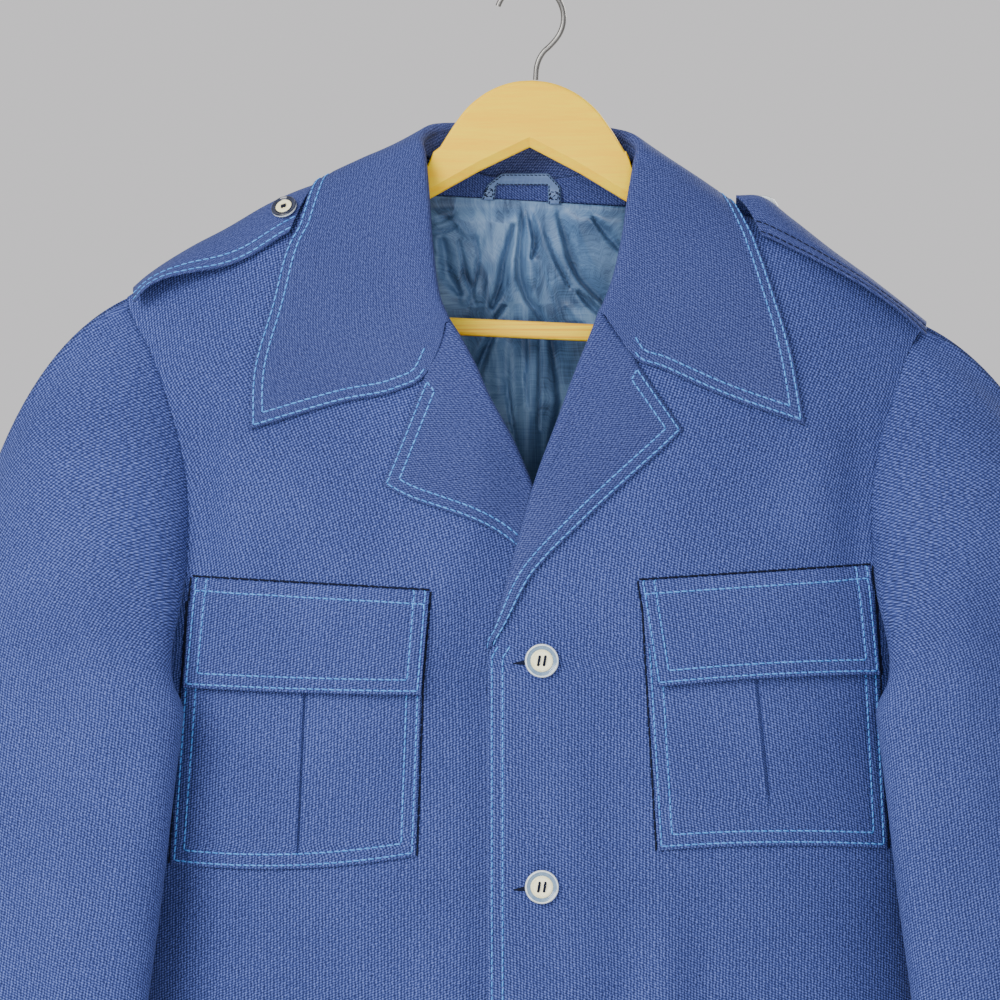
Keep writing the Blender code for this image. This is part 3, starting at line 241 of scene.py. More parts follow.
@dataclass(frozen=True)
class Body:
    """The garment's own outer surface: width, depth, shoulder line, edges and the folds it hangs in."""

    hem_z: float = -915.0
    underarm_z: float = -405.0
    neck_half: float = 62.0
    neckline_z: float = -118.0
    side_round: float = 2.2
    seam_gap: float = 2.1
    lie_gap: float = 0.75
    wall: float = 1.6
    underlap: float = 4.2
    underlap_at_lapel: float = 8.5
    # height, half width, depth in front, depth behind
    levels: Table = (
        (-915, 247, 82, 74), (-800, 241, 77, 69), (-650, 235, 71, 64), (-500, 234, 67, 60),
        (-405, 236, 65, 57), (-300, 237, 62, 53), (-190, 241, 60, 50), (-80, 244, 60, 50),
    )
    # distance out, height on the right, height on the left
    shoulder_line: Table = (
        (0, -89, -89), (62, -101, -104), (95, -110, -119), (117, -118, -131), (137, -125, -139),
        (155, -133, -147), (178, -146, -160), (200, -158, -175), (220, -171, -190),
        (240, -185, -205),
    )
    # height, distance out in front, distance out behind
    armhole: Table = (
        (-405, 236, 236), (-396, 226, 231), (-382, 214, 225), (-362, 206, 220), (-330, 203, 217),
        (-294, 203, 217), (-274, 206, 219), (-241, 215, 223), (-215, 224, 229), (-194, 235, 236),
        (-184, 238, 238),
    )
    front_edge: dict[Side, float] = by_side(-25.0, 38.0)
    break_z: dict[Side, float] = by_side(-385.0, -392.0)
    # height, distance from the centre
    roll_line: dict[Side, Table] = by_side(
        left=(
            (-385, -23.5), (-373, -20), (-341, -11), (-315, -4), (-288, 4), (-256, 16),
            (-226, 27), (-200, 37.5), (-175, 46), (-150, 53), (-130, 57), (-104, 60),
        ),
        right=(
            (-392, 38), (-291, 0.6), (-269, -9), (-239, -25), (-225, -31), (-208, -40),
            (-195, -48), (-180, -54), (-153, -57.5), (-122, -59), (-101, -60),
        ),
    )
    # face, x and z at one end, x and z at the other, half width, how far out
    folds: Table = (
        (-1, -196, -235, -191, -362, 11, -9), (-1, 198, -245, 192, -365, 12, -8),
        (-1, -176, -225, -166, -345, 15, 3.5), (-1, 172, -230, 166, -345, 16, 3),
        (-1, -40, -330, -75, -640, 20, -2.5), (-1, 48, -345, 62, -700, 20, -3),
        (-1, 120, -500, 100, -1000, 26, -6), (-1, -105, -540, -90, -1000, 26, -6.5),
        (-1, 185, -560, 178, -1000, 24, 7), (-1, -178, -560, -170, -1000, 24, 7),
        (1, 0, -330, 5, -1000, 30, -5), (1, 95, -420, 110, -1000, 30, 6),
        (1, -100, -450, -112, -1000, 28, 6.5), (1, -185, -300, -170, -620, 20, -6),
        (1, 190, -290, 178, -600, 20, -5.5),
    )
    # the same, for the smaller folds and drags that only the scene draws
    small_folds: Table = (
        (-1, -150, -300, -128, -470, 13, -1.6), (-1, -78, -300, -120, -420, 10, -1.2),
        (-1, 20, -430, 34, -640, 12, 1.2), (-1, 60, -520, 52, -760, 9, -1.5),
        (-1, 78, -500, 84, -800, 10, 1.6), (-1, 104, -520, 96, -800, 9, -1.4),
        (-1, 150, -600, 140, -900, 14, -2), (-1, -60, -560, -52, -860, 11, 1.5),
        (-1, -140, -540, -150, -900, 15, -2.2), (-1, -225, -420, -205, -560, 9, -1.5),
        (1, -40, -150, -120, -330, 16, -1.6), (1, 45, -160, 125, -320, 15, -1.8),
        (1, 30, -480, 60, -900, 16, 2.4), (1, -45, -520, -70, -880, 14, -2.2),
        (1, 140, -520, 150, -900, 15, -2.6), (1, -150, -560, -150, -900, 16, 2.6),
    )

    small_depth: float = 1.6  # how much deeper the smaller folds are than in the list
    edge_trough: tuple[float, float] = (6.0, 3.2)  # half width and depth beside the front edge
    # where the right front goes under the left one: x at the hem, how much further in by the lapel,
    # and over how many millimetres it sinks
    under_x: float = -62.0
    under_shift: float = 28.0
    under_run: float = 34.0
    # heights between which the lapel's part begins, the shift fades, the overlap and the trough end
    lapel_starts: tuple[float, float] = (-440.0, -405.0)
    shift_fades: tuple[float, float] = (-400.0, -290.0)
    overlap_ends: tuple[float, float] = (-238.0, -284.0)
    trough_ends: tuple[float, float] = (-395.0, -415.0)

    def shoulder_z(self, x: Any) -> Any:
        """Height of the shoulder line above a place.

        Args:
            x: the places' x.

        Returns:
            The height of the line.
        """
        out = np.abs(x)
        left = curve(self.shoulder_line, 2, out)
        return np.where(np.asarray(x) < 0, curve(self.shoulder_line, 1, out), left)

    def fold_height(self, x: Any, z: Any, face: Face) -> Array:
        """How far the folds of one face lift its surface.

        Args:
            x: the places' x.
            z: their height.
            face: the front or the back.

        Returns:
            The lift in millimetres.
        """
        total = np.zeros(np.broadcast(x, z).shape)
        small = [(*fold[:6], fold[6] * self.small_depth) for fold in self.small_folds]
        for fold_face, x0, z0, x1, z1, half, out in [*self.folds, *small]:
            if fold_face == face:
                along, aside = beside(x, z, (x0, z0), (x1, z1))
                total += out * np.exp(-((aside / half) ** 2)) * step(0, 0.3, along) * step(1, 0.75, along)
        return total

    def depth(self, x: Any, z: Any, face: Face) -> Array:
        """Distance of the outer surface from the plane of the hanger.

        Args:
            x: the places' x.
            z: their height.
            face: the front or the back.

        Returns:
            The distance, without the seam's gap.
        """
        x, z = np.asarray(x, float), np.asarray(z, float)
        share = np.clip(np.abs(x) / curve(self.levels, 1, z), 0, 1)
        across = (1 - share**self.side_round) ** (1 / self.side_round)
        top = self.shoulder_z(x)
        down = np.clip((top - z) / (top - self.underarm_z), 0, 1)
        full = np.sqrt(1 - (1 - down) ** self.side_round)
        column = 2 if face == Face.FRONT else 3
        return (curve(self.levels, column, z) + self.fold_height(x, z, face)) * across * full

    def on_body(self, x: Any, z: Any, face: Face, lift: Any = 0.0) -> Array:
        """Points on the outer surface, moved out by lift."""
        x, z = np.broadcast_arrays(np.asarray(x, float), np.asarray(z, float))
        return np.stack([x, face * (self.depth(x, z, face) + self.seam_gap / 2 + lift), z], -1)

    def over_shoulder(self, x: float, round_by: float, lift: float) -> Array:
        """A point near the shoulder line. Round_by is the root of the drop, positive in front.

        Args:
            x: the point's x.
            round_by: the root of the drop from the shoulder line, positive in front.
            lift: how far out from the surface.

        Returns:
            The point.
        """
        line = float(self.shoulder_z(x))
        drop = round_by**2
        aside = min(abs(round_by) / 4.0, 1.0)
        face = Face.BACK if round_by < 0 else Face.FRONT
        y = face * (float(self.depth(x, line - drop, face)) + (self.seam_gap / 2 + lift) * aside)
        return np.array([x, y, line - drop + lift * math.sqrt(1 - aside**2)])

    def front_drop(self, x: Any, z: Any) -> Any:
        """How far the right front lies below the left one where they overlap.

        Args:
            x: the places' x.
            z: their height.

        Returns:
            The drop in millimetres.
        """
        near_lapel = step(*self.lapel_starts, z)
        deep = self.underlap + (self.underlap_at_lapel - self.underlap) * near_lapel
        start = self.under_x + self.under_shift * near_lapel * step(*self.shift_fades, z)
        half, trough = self.edge_trough
        sunk = np.exp(-(((x - self.front_edge[Side.LEFT] + half / 2) / half) ** 2))
        sunk = sunk * step(*self.trough_ends, z)
        return deep * step(0, self.under_run, x - start) * step(*self.overlap_ends, z) + trough * sunk

    def on_front(self, side: Side, x: Any, z: Any, lift: Any = 0.0) -> Array:
        """Points on one front's outer surface, moved out by lift.

        Args:
            side: the wearer's side.
            x: the places' x.
            z: their height.
            lift: how far out from the surface.

        Returns:
            The points.
        """
        if side == Side.RIGHT:
            lift = lift - self.front_drop(x, z)
        return self.on_body(x, z, Face.FRONT, lift)

    def roll_x(self, side: Side, z: Any) -> Any:
        """The visible inner edge of a front at a height."""
        below = np.asarray(z) < self.break_z[side]
        return np.where(below, self.front_edge[side], curve(self.roll_line[side], 1, z))

    def edge_place(self, edge: Rule, top: Rule, share: float) -> float:
        """Where an edge given by height crosses the row that is a share of the way to the underarm.

        Args:
            edge: the edge's x at a height.
            top: the height of the piece's upper edge at an x.
            share: the share of the way down.

        Returns:
            The x at which they cross.
        """
        x = edge(self.underarm_z)
        for _ in range(12):
            z = top(x) + (self.underarm_z - top(x)) * share
            x = edge(z)
        return float(x)

    def back_top(self, x: Any) -> Any:
        """The back's upper edge: the neckline between the neck points, then the shoulder line.

        Args:
            x: the places' x.

        Returns:
            The edge's height.
        """
        rise = self.neckline_z - self.shoulder_z(np.sign(x) * self.neck_half)
        neck = self.neckline_z - rise * (np.abs(x) / self.neck_half) ** 2
        return np.where(np.abs(x) < self.neck_half, neck, self.shoulder_z(x))

    def clear_of(self, points: Array, lift: float) -> Array:
        """Points pushed out wherever they lie closer to the body than lift.

        Args:
            points: the points to push.
            lift: the least distance from the body.

        Returns:
            The points, clear of it.
        """
        out = points.copy()
        x, y, z = points[:, 0], points[:, 1], points[:, 2]
        for face in Face:
            near = (z <= self.shoulder_z(x)) & ((y < 0) == (face == Face.FRONT))
            needed = self.depth(x, z, face) + self.seam_gap / 2 + lift
            apart = np.abs(y) - needed
            out[near, 1] = (face * 0.5 * (np.abs(y) + needed + np.sqrt(apart**2 + 4.0)))[near]
        return out


# ---- cloth pieces and their sewing ----
@dataclass
class Panel:
    """One cut piece: points on its outer face, row by row, in millimetres.

    Attributes:
        name: the piece's name.
        grid: points, rows by columns.
        wall: thickness.
        closed: whether the rows are rings.
        flip: whether the outer face is on the grid's other side.
    """

    name: str
    grid: Array
    wall: float
    closed: bool = False
    flip: bool = False

    def normals(self) -> Array:
        """Unit normals that point out of the cloth.

        Returns:
            One for each point.
        """
        down = np.gradient(self.grid, axis=0)
        if self.closed:
            across = (np.roll(self.grid, -1, axis=1) - np.roll(self.grid, 1, axis=1)) / 2
        else:
            across = np.gradient(self.grid, axis=1)
        return unit(np.cross(down, across)) * (-1 if self.flip else 1)

    def run(self, axis: int) -> Array:
        """Length along the rows (axis 1) or columns (axis 0), from their first point.

        Args:
            axis: 1 for the rows and 0 for the columns.

        Returns:
            The length at each point.
        """
        steps = np.linalg.norm(np.diff(self.grid, axis=axis), axis=-1)
        pad = [(1, 0), (0, 0)] if axis == 0 else [(0, 0), (1, 0)]
        return np.pad(np.cumsum(steps, axis=axis), pad)

    def reach(self, edge: Edge) -> Array:
        """Distance of every point from an edge, square to it.

        Args:
            edge: the edge.

        Returns:
            The distance in millimetres.
        """
        by_row = edge in (Edge.FIRST_ROW, Edge.LAST_ROW)
        grid = self.grid.swapaxes(0, 1) if by_row else self.grid
        run = self.run(0).T if by_row else self.run(1)
        if edge in (Edge.LAST_COLUMN, Edge.LAST_ROW):
            grid, run = grid[:, ::-1], (run[:, -1:] - run)[:, ::-1]
        along = unit(np.gradient(grid[:, 0], axis=0))
        i = min(3, grid.shape[1] - 1)
        into = unit(grid[:, i] - grid[:, 0])
        square = np.linalg.norm(np.cross(along, into), axis=-1)
        run = run * np.maximum(square, 0.35)[:, None]
        if edge in (Edge.LAST_COLUMN, Edge.LAST_ROW):
            run = run[:, ::-1]
        return run.T if by_row else run

    def move(self, amount: Array) -> None:
        """Moves each point out by an amount."""
        self.grid = self.grid + self.normals() * amount[..., None]

    def press(self, edges: dict[Edge, Any], rows: Sequence[float], deep: float = 0.42) -> None:
        """Presses the cloth in along rows of stitches and turns its edges.

        Args:
            edges: the edges that the rows follow, each with its weight at each point.
            rows: the rows' distances from an edge.
            deep: how far a row sinks.
        """
        turned, sunk = np.zeros(self.grid.shape[:2]), np.zeros(self.grid.shape[:2])
        for edge, weight in edges.items():
            d = self.reach(edge)
            near = 1 - np.clip(d / TURN_IN, 0, 1)
            turned = np.maximum(turned, TURN_DEEP * self.wall * (1 - np.sqrt(1 - near**2)) * weight)
            for row in rows:
                sunk = np.maximum(sunk, deep * np.exp(-(((d - row) / GROOVE) ** 2)) * weight)
        self.move(-turned - sunk)

    def crease(self, start: Sequence[float], end: Sequence[float], half: float, out: float) -> None:
        """A soft ridge (or a trough, out < 0) along a straight line in space.

        Args:
            start: the line's first point.
            end: its last point.
            half: half the ridge's width.
            out: its height.
        """
        a, run = np.array(start, float), np.array(end, float) - np.array(start, float)
        t = ((self.grid - a) @ run) / (run @ run)
        near = a + np.clip(t, 0, 1)[..., None] * run
        d = np.linalg.norm(self.grid - near, axis=-1)
        ends = step(-0.05, 0.3, t) * step(1.05, 0.7, t)
        self.move(out * np.exp(-((d / half) ** 2)) * ends)

    def line(self, edge: Edge, distance: float) -> Array:
        """Points and normals along a line at a distance from an edge, in rows of six numbers.

        Args:
            edge: the edge.
            distance: the distance from it in millimetres.

        Returns:
            One row for each point.
        """
        by_row = edge in (Edge.FIRST_ROW, Edge.LAST_ROW)
        both = np.concatenate([self.grid, self.normals()], -1)
        d = self.reach(edge)
        if by_row:
            both, d = both.swapaxes(0, 1), d.T
        if edge in (Edge.LAST_COLUMN, Edge.LAST_ROW):
            both, d = both[:, ::-1], d[:, ::-1]
        found = [[np.interp(distance, reach, row[:, k]) for k in range(6)] for row, reach in zip(both, d)]
        return np.array(found)

    def size(self) -> tuple[float, float, float]:
        """The piece's cut: greatest width and length in metres and its area in square metres.

        Returns:
            The three measures.
        """
        ring = np.linalg.norm(self.grid[:, 0] - self.grid[:, -1], axis=-1).mean() if self.closed else 0.0
        g = np.concatenate([self.grid, self.grid[:, :1]], 1) if self.closed else self.grid
        cells = np.cross(g[1:, :-1] - g[:-1, :-1], g[:-1, 1:] - g[:-1, :-1])
        other = np.cross(g[1:, 1:] - g[:-1, 1:], g[1:, 1:] - g[1:, :-1])
        area = (np.linalg.norm(cells, axis=-1).sum() + np.linalg.norm(other, axis=-1).sum()) / 2
        width = max((self.run(1)[:, -1] + ring).max(), 10.0)
        length = self.run(0)[-1].max()
        return width * MM, length * MM, area * MM * MM

    def piece(self, finish: bpy.types.Material, slot: Slot, node: str, rests_on: Sequence[str] = ()) -> Any:
        """The shown piece, in place of its CAD node.

        Args:
            finish: its material.
            slot: the record's slot; not used.
            node: the CAD node that it stands for.
            rests_on: what it hangs from or lies on; not used.

        Returns:
            The object.
        """
        rows, columns = self.grid.shape[:2]
        wide = columns if self.closed else columns - 1
        j, i = np.meshgrid(np.arange(rows - 1), np.arange(wide), indexing="ij")
        j, i = j.ravel(), i.ravel()
        k = (i + 1) % columns
        across, down = self.run(1), self.run(0)
        across = across - across[:, columns // 2][:, None]
        down = down - down[rows // 2]
        last = np.linalg.norm(self.grid[:, 0] - self.grid[:, -1], axis=-1) + across[:, -1]
        quads, u, v = [], [], []
        for row, column, end in ((j, i, False), (j + 1, i, False), (j + 1, k, True), (j, k, True)):
            quads.append(row * columns + column)
            closing = end & (i + 1 == columns)
            u.append(np.where(closing, last[row], across[row, column]))
            v.append(down[row, column])
        quads, u, v = np.stack(quads, 1), np.stack(u, 1), np.stack(v, 1)
        if self.flip:
            quads, u, v = quads[:, ::-1], u[:, ::-1], v[:, ::-1]
        ob = new_piece(self.name, self.grid, quads.tolist(), [finish])
        uv = ob.data.uv_layers.new(name=CLOTH_UV)
        uv.data.foreach_set("uv", (np.stack([u, -v], -1).ravel() * MM).astype(np.float32))
        thick = ob.modifiers.new("wall", "SOLIDIFY")
        thick.thickness = self.wall * MM
        thick.offset = -1
        width, length, area = self.size()
        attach(ob, BODY)
        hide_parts(node)
        LOG.info("%s: %d points, %.0f x %.0f mm", self.name, rows * columns, width / MM, length / MM)
        return ob


def new_object(name: str, data: Any) -> bpy.types.Object:
    """Puts a mesh, light or camera into the scene.

    Args:
        name: the object's name.
        data: the mesh, light or camera.

    Returns:
        The object.
    """
    ob = bpy.data.objects.new(name, data)
    bpy.context.scene.collection.objects.link(ob)
    return ob


def new_piece(name: str, points: Array, faces: list, finishes: Sequence[Any], sharp: float = 180.0) -> Any:
    """A smooth mesh in the scene.

    Args:
        name: the piece's name.
        points: its points in millimetres.
        faces: its faces.
        finishes: its materials.
        sharp: the angle in degrees above which an edge stays sharp; its faces are then turned outward.

    Returns:
        The object.
    """
    mesh = bpy.data.meshes.new(name)
    mesh.from_pydata((np.reshape(points, (-1, 3)) * MM).tolist(), [], faces)
    if sharp < 180:
        shape = bmesh.new()
        shape.from_mesh(mesh)
        bmesh.ops.recalc_face_normals(shape, faces=shape.faces)
        shape.to_mesh(mesh)
        shape.free()
    mesh.shade_smooth()
    if sharp < 180:
        mesh.set_sharp_from_angle(angle=math.radians(sharp))
    for finish in finishes:
        mesh.materials.append(finish)
    return new_object(name, mesh)


def settle(ob: bpy.types.Object, slot: Slot, *nodes: str) -> bpy.types.Object:
    """Rides a piece on the jacket and hides the CAD nodes that it stands for.

    Args:
        ob: the piece.
        slot: its slot in the record; not used.
        nodes: the CAD nodes that it stands for.

    Returns:
        The piece.
    """
    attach(ob, BODY)
    if nodes:
        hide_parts(*nodes)
    LOG.info("%s: %d faces", ob.name, len(getattr(ob.data, "polygons", ())))
    return ob


def lengths(line: Array) -> Array:
    """Length along a line at each of its points."""
    return np.concatenate([[0], np.cumsum(np.linalg.norm(np.diff(line[:, :3], axis=0), axis=1))])


def cut(line: Array, start: float = 0.0, end: float = 0.0) -> Array:
    """A line without its first start and last end millimetres.

    Args:
        line: points in rows.
        start: how much of its start goes, in millimetres.
        end: how much of its end goes.

    Returns:
        The rest of it.
    """
    run = lengths(line)
    places = np.concatenate([[start], run[(run > start) & (run < run[-1] - end)], [run[-1] - end]])
    return np.stack([np.interp(places, run, line[:, k]) for k in range(line.shape[1])], 1)


def meet(first: Array, second: Array) -> tuple[Array, Array]:
    """Two lines cut where they cross, seen from the front: the first ends there and the second starts.

    Args:
        first: the first line's points.
        second: the second line's points.

    Returns:
        Both lines.
    """
    p, r = first[:-1, None, ::2][..., :2], np.diff(first[:, :3:2], axis=0)[:, None]
    q, s = second[None, :-1, ::2][..., :2], np.diff(second[:, :3:2], axis=0)[None]
    turn = r[..., 0] * s[..., 1] - r[..., 1] * s[..., 0]
    turn = np.where(np.abs(turn) < 1e-9, 1e-9, turn)
    gap = q - p
    t = (gap[..., 0] * s[..., 1] - gap[..., 1] * s[..., 0]) / turn
    w = (gap[..., 0] * r[..., 1] - gap[..., 1] * r[..., 0]) / turn
    hit = np.argwhere((t >= 0) & (t <= 1) & (w >= 0) & (w <= 1))
    if not len(hit):
        return first, second
    i, j = hit[len(hit) - 1]
    point = first[i] + (first[i + 1] - first[i]) * t[i, j]
    return np.vstack([first[: i + 1], point]), np.vstack([point, second[j + 1 :]])


@dataclass
class Sewing:
    """Topstitching in one thread, stitch by stitch. A stitch dives into the cloth at both its ends.

    Attributes:
        name: the piece's name.
        pitch: length of a stitch with its gap.
        gap: dark gap between two stitches.
        half_width: half the thread's width on the cloth.
        height: how far it stands proud.
        lean: how far a stitch slants across its row.
        sides: sides of the thread's section.
        profile: share of the way along a stitch, its width and its height there.
        stitches: the points of each row's stitches.
    """

    name: str
    pitch: float = 4.4
    gap: float = 0.65
    half_width: float = 0.47
    height: float = 0.4
    lean: float = 0.28
    sides: int = 6
    profile: Table = ((0, 0.35, -0.35), (0.12, 0.9, 0.5), (0.5, 1, 0.62), (0.88, 0.9, 0.5), (1, 0.35, -0.35))
    stitches: list = field(default_factory=list)

    def row(self, line: Array, pitch: Optional[float] = None) -> None:
        """Sews along a line.

        Args:
            line: points with their normals, in rows of six numbers.
            pitch: length of a stitch with its gap, where it isn't the thread's own.
        """
        run = lengths(line)
        number = max(1, round(run[-1] / (pitch or self.pitch)))
        one = run[-1] / number
        places, wide, high = np.array(self.profile, float).T
        at = np.arange(number)[:, None] * one + self.gap / 2 + places * (one - self.gap)
        both = np.stack([np.interp(at, run, line[:, k]) for k in range(6)], -1)
        centre, normal = both[..., :3], unit(both[..., 3:])
        aside = unit(np.cross(unit(np.gradient(centre, axis=1)), normal))
        centre = centre + normal * (high * self.height)[:, None]
        centre = centre + aside * ((places - 0.5) * self.lean)[:, None]
        turns = np.arange(self.sides) * math.tau / self.sides
        across = np.cos(turns) * self.half_width * wide[:, None]
        up = np.sin(turns) * self.height * 0.75 * wide[:, None]
        section = aside[:, :, None] * across[..., None] + normal[:, :, None] * up[..., None]
        self.stitches.append(centre[:, :, None] + section)

    def corners(self, *lines: Array) -> Array:
        """Sews lines that meet in corners, each cut where it crosses the next.

        Args:
            lines: the lines in order, from start to end.

        Returns:
            The last line, as it is sewn.
        """
        cut_lines = list(lines)
        for k in range(len(lines) - 1):
            cut_lines[k], cut_lines[k + 1] = meet(cut_lines[k], cut_lines[k + 1])
        for line in cut_lines:
            self.row(line)
        return cut_lines[-1]

    def piece(self, finish: bpy.types.Material) -> bpy.types.Object:
        """All the rows as one joined mesh.

        Args:
            finish: the thread's material.

        Returns:
            The object.
        """
        points = np.concatenate(self.stitches)
        count, rings, sides = points.shape[:3]
        first = (np.arange(count) * rings * sides)[:, None, None]
        faces = (first + tube_faces(rings, sides)).reshape(-1, 4).tolist()
        faces += (first + capped(rings, sides)).reshape(-1, sides).tolist()
        LOG.info("%s: %d stitches", self.name, count)
        return settle(new_piece(self.name, points, faces, [finish]), Slot.KNIT)


# ---- finishes ----
def linear(hex_colour: str) -> tuple[float, float, float, float]:
    """An sRGB hex colour as Blender's linear colour.

    Args:
        hex_colour: the colour, such as "#A0B0C0".

    Returns:
        Its red, green and blue, with 1 for alpha.
    """
    parts = [int(hex_colour[i : i + 2], 16) / 255 for i in (1, 3, 5)]
    red, green, blue = [c / 12.92 if c <= 0.04045 else ((c + 0.055) / 1.055) ** 2.4 for c in parts]
    return red, green, blue, 1.0


def feed(tree: Any, target: Any, key: Any, value: Any) -> None:
    """Sets one attribute, colour ramp or input of a node, or links the input.

    Args:
        tree: the material's node tree.
        target: the node.
        key: an attribute, stops for a ramp, or an input's number or name, with _ for a space.
        value: the value, or the node or socket to link.
    """
    if isinstance(value, bpy.types.Node):
        value = value.outputs[0]
    if key == "stops":
        band = target.color_ramp.elements
        while len(band) < len(value):
            band.new(0.5)
        for element, (place, colour) in zip(band, value):
            element.position = place
            element.color = linear(colour)
    elif isinstance(key, str) and hasattr(target, key):
        setattr(target, key, value)
    else:
        socket = target.inputs[key if isinstance(key, int) else key.replace("_", " ")]
        if isinstance(value, bpy.types.NodeSocket):
            tree.links.new(value, socket)
        else:
            socket.default_value = value


def node(tree: Any, kind: str, *inputs: Any, **settings: Any) -> Any:
    """Adds a node with its settings and links.

    Args:
        tree: the material's node tree.
        kind: the node's type without its Shader prefix.
        inputs: values, nodes or sockets for its first inputs, in order.
        settings: the same by name, as feed takes them.

    Returns:
        The node.
    """
    made = tree.nodes.new("ShaderNode" + kind)
    for key, value in [*enumerate(inputs), *settings.items()]:
        feed(tree, made, key, value)
    return made


def new_material(name: str) -> tuple[bpy.types.Material, Any]:
    """A new material and its tree.

    Args:
        name: the material's name.

    Returns:
        The material and its node tree.
    """
    material = bpy.data.materials.new(name)
    material.use_nodes = True
    return material, material.node_tree


def dress(material: bpy.types.Material, **values: Any) -> bpy.types.Material:
    """Sets and links the inputs of a material's shader.

    Args:
        material: the material.
        values: values, nodes or sockets by the input's name, with _ for a space.

    Returns:
        The material.
    """
    tree = material.node_tree
    for key, value in values.items():
        feed(tree, tree.nodes["Principled BSDF"], key, value)
    return material


@dataclass(frozen=True)
class DoubleKnit:
    """Polyester double knit: small raised loops in a brick pattern, lighter than the gaps between.

    Attributes:
        name: the material's name.
        gap: colour of the sunk ground between loops.
        body: colour of the yarn in between.
        loop: colour of the raised loops.
        unit_mm: half the distance between two wales. The real one is about 0.6; drawn coarser, so that
            the loops still show from the photograph's distance.
        course: how much closer the courses are than the wales.
        lean: how far a wale's loops are shifted against the next wale's, in turns.
        wale: share of the relief that runs up the cloth in wales.
        relief_mm: how far a loop stands up.
        mottle: how unevenly the loops take the dye.
        patch: how much whole patches of the cloth differ in tone.
        wander: how far the wales stray from straight, in radians.
        drift: how far the courses do.
        roughness: of the surface.
    """

    name: str
    gap: str
    body: str
    loop: str
    unit_mm: float = 0.97
    course: float = 1.25
    lean: float = 0.5
    wale: float = 0.52
    relief_mm: float = 0.55
    mottle: float = 0.65
    patch: float = 0.2
    wander: float = 5.0
    drift: float = 4.0
    roughness: float = 0.82

    def material(self) -> bpy.types.Material:
        """The material: a soft, dry surface whose loops catch the light and whose gaps stay dark.

        Returns:
            The material.
        """
        material, tree = new_material(self.name)
        cloth = node(tree, "UVMap", uv_map=CLOTH_UV)
        part = node(tree, "SeparateXYZ", cloth)
        noises = []
        for scale, detail in ((320.0, 2.0), (410.0, 2.0), (640.0 / self.unit_mm, 1.0), (9.0, 3.0)):
            noise = node(tree, "TexNoise", noise_dimensions="2D", Vector=cloth, Scale=scale, Detail=detail)
            noises.append(noise)
        wander, drift, fleck, cloud = noises
        wave = math.pi / (self.unit_mm * MM)
        shift = node(tree, "Math", wander, self.wander, operation="MULTIPLY")
        across = node(tree, "Math", part.outputs[0], wave, shift, operation="MULTIPLY_ADD")
        sway = node(tree, "Math", drift, self.drift, operation="MULTIPLY")
        up = node(tree, "Math", part.outputs[1], wave * self.course, sway, operation="MULTIPLY_ADD")
        leant = node(tree, "Math", across, self.lean, up, operation="MULTIPLY_ADD")
        wale = node(tree, "Math", across, operation="COSINE")
        loops = node(tree, "Math", leant, operation="COSINE")
        ridge = node(tree, "Math", wale, self.wale / 2, 0.5, operation="MULTIPLY_ADD")
        height = node(tree, "Math", loops, (1 - self.wale) / 2, ridge, operation="MULTIPLY_ADD")
        tone = node(tree, "Math", fleck, self.mottle, height, operation="MULTIPLY_ADD")
        tone = node(tree, "Math", cloud, self.patch, tone, operation="MULTIPLY_ADD")
        tone = node(tree, "Math", tone, (self.mottle + self.patch) / 2, operation="SUBTRACT")
        colour = node(tree, "ValToRGB", tone, stops=((0.05, self.gap), (0.5, self.body), (1.0, self.loop)))
        bump = node(tree, "Bump", Distance=self.relief_mm * MM, Strength=0.5, Height=height)
        return dress(
            material, Base_Color=colour, Normal=bump, Roughness=self.roughness, Specular_IOR_Level=0.25,
            Sheen_Weight=0.08, Sheen_Roughness=0.5, Sheen_Tint=linear("#9FB4E8"),
        )


@dataclass(frozen=True)
class Satin:
    """Woven acetate satin: smooth, with a soft gloss along its creases and painted sheen and shade in broad
    patches of its colour.
    """

    name: str
    # the lighter and darker tones carry the threads' own unevenness and the painted sheen and shade
    colour: str
    shade: str
    dark: str
    thread_mm: float = 0.6  # real threads are about 0.2; drawn coarser to show at all
    painted_sheen: float = 1.5  # how strongly the painted sheen and shade come and go over the cloth, in broad patches of its colour

    def material(self) -> bpy.types.Material:
        """The material: a bluish colour with painted sheen and shade that come and go in broad patches, with
        very fine uneven threads across it.

        Returns:
            The material.
        """
        material, tree = new_material(self.name)
        cloth = node(tree, "UVMap", uv_map=CLOTH_UV)
        fine = 1 / (self.thread_mm * MM)
        threads = []
        for scale in ((fine, 60, 1), (60, fine, 1)):
            drawn = node(tree, "Mapping", Vector=cloth, Scale=scale)
            thread = node(tree, "TexNoise", noise_dimensions="2D", Vector=drawn, Scale=0.6, Detail=2.0)
            threads.append(thread)
        both = node(tree, "Math", *threads, operation="ADD")
        weave = node(tree, "Math", both, 0.5, operation="MULTIPLY")
        # painted sheen and shade: a broad noise that lightens and darkens the colour in patches, standing in
        # for the satin's reflections and shade
        fold = node(tree, "TexNoise", noise_dimensions="2D", Vector=cloth, Scale=26.0, Detail=2.0)
        feed(tree, fold, "Distortion", 0.7)
        tone = node(tree, "Math", fold, self.painted_sheen, weave, operation="MULTIPLY_ADD")
        tone = node(tree, "Math", tone, self.painted_sheen / 2, operation="SUBTRACT")
        stops = ((0.1, self.dark), (0.5, self.shade), (0.85, self.colour))
        colour = node(tree, "ValToRGB", tone, stops=stops)
        bump = node(tree, "Bump", Distance=0.03 * MM, Strength=0.1, Height=weave)
        return dress(
            material, Base_Color=colour, Normal=bump, Roughness=0.5, Specular_IOR_Level=0.4,
            Sheen_Weight=0.15, Sheen_Roughness=0.3,
        )


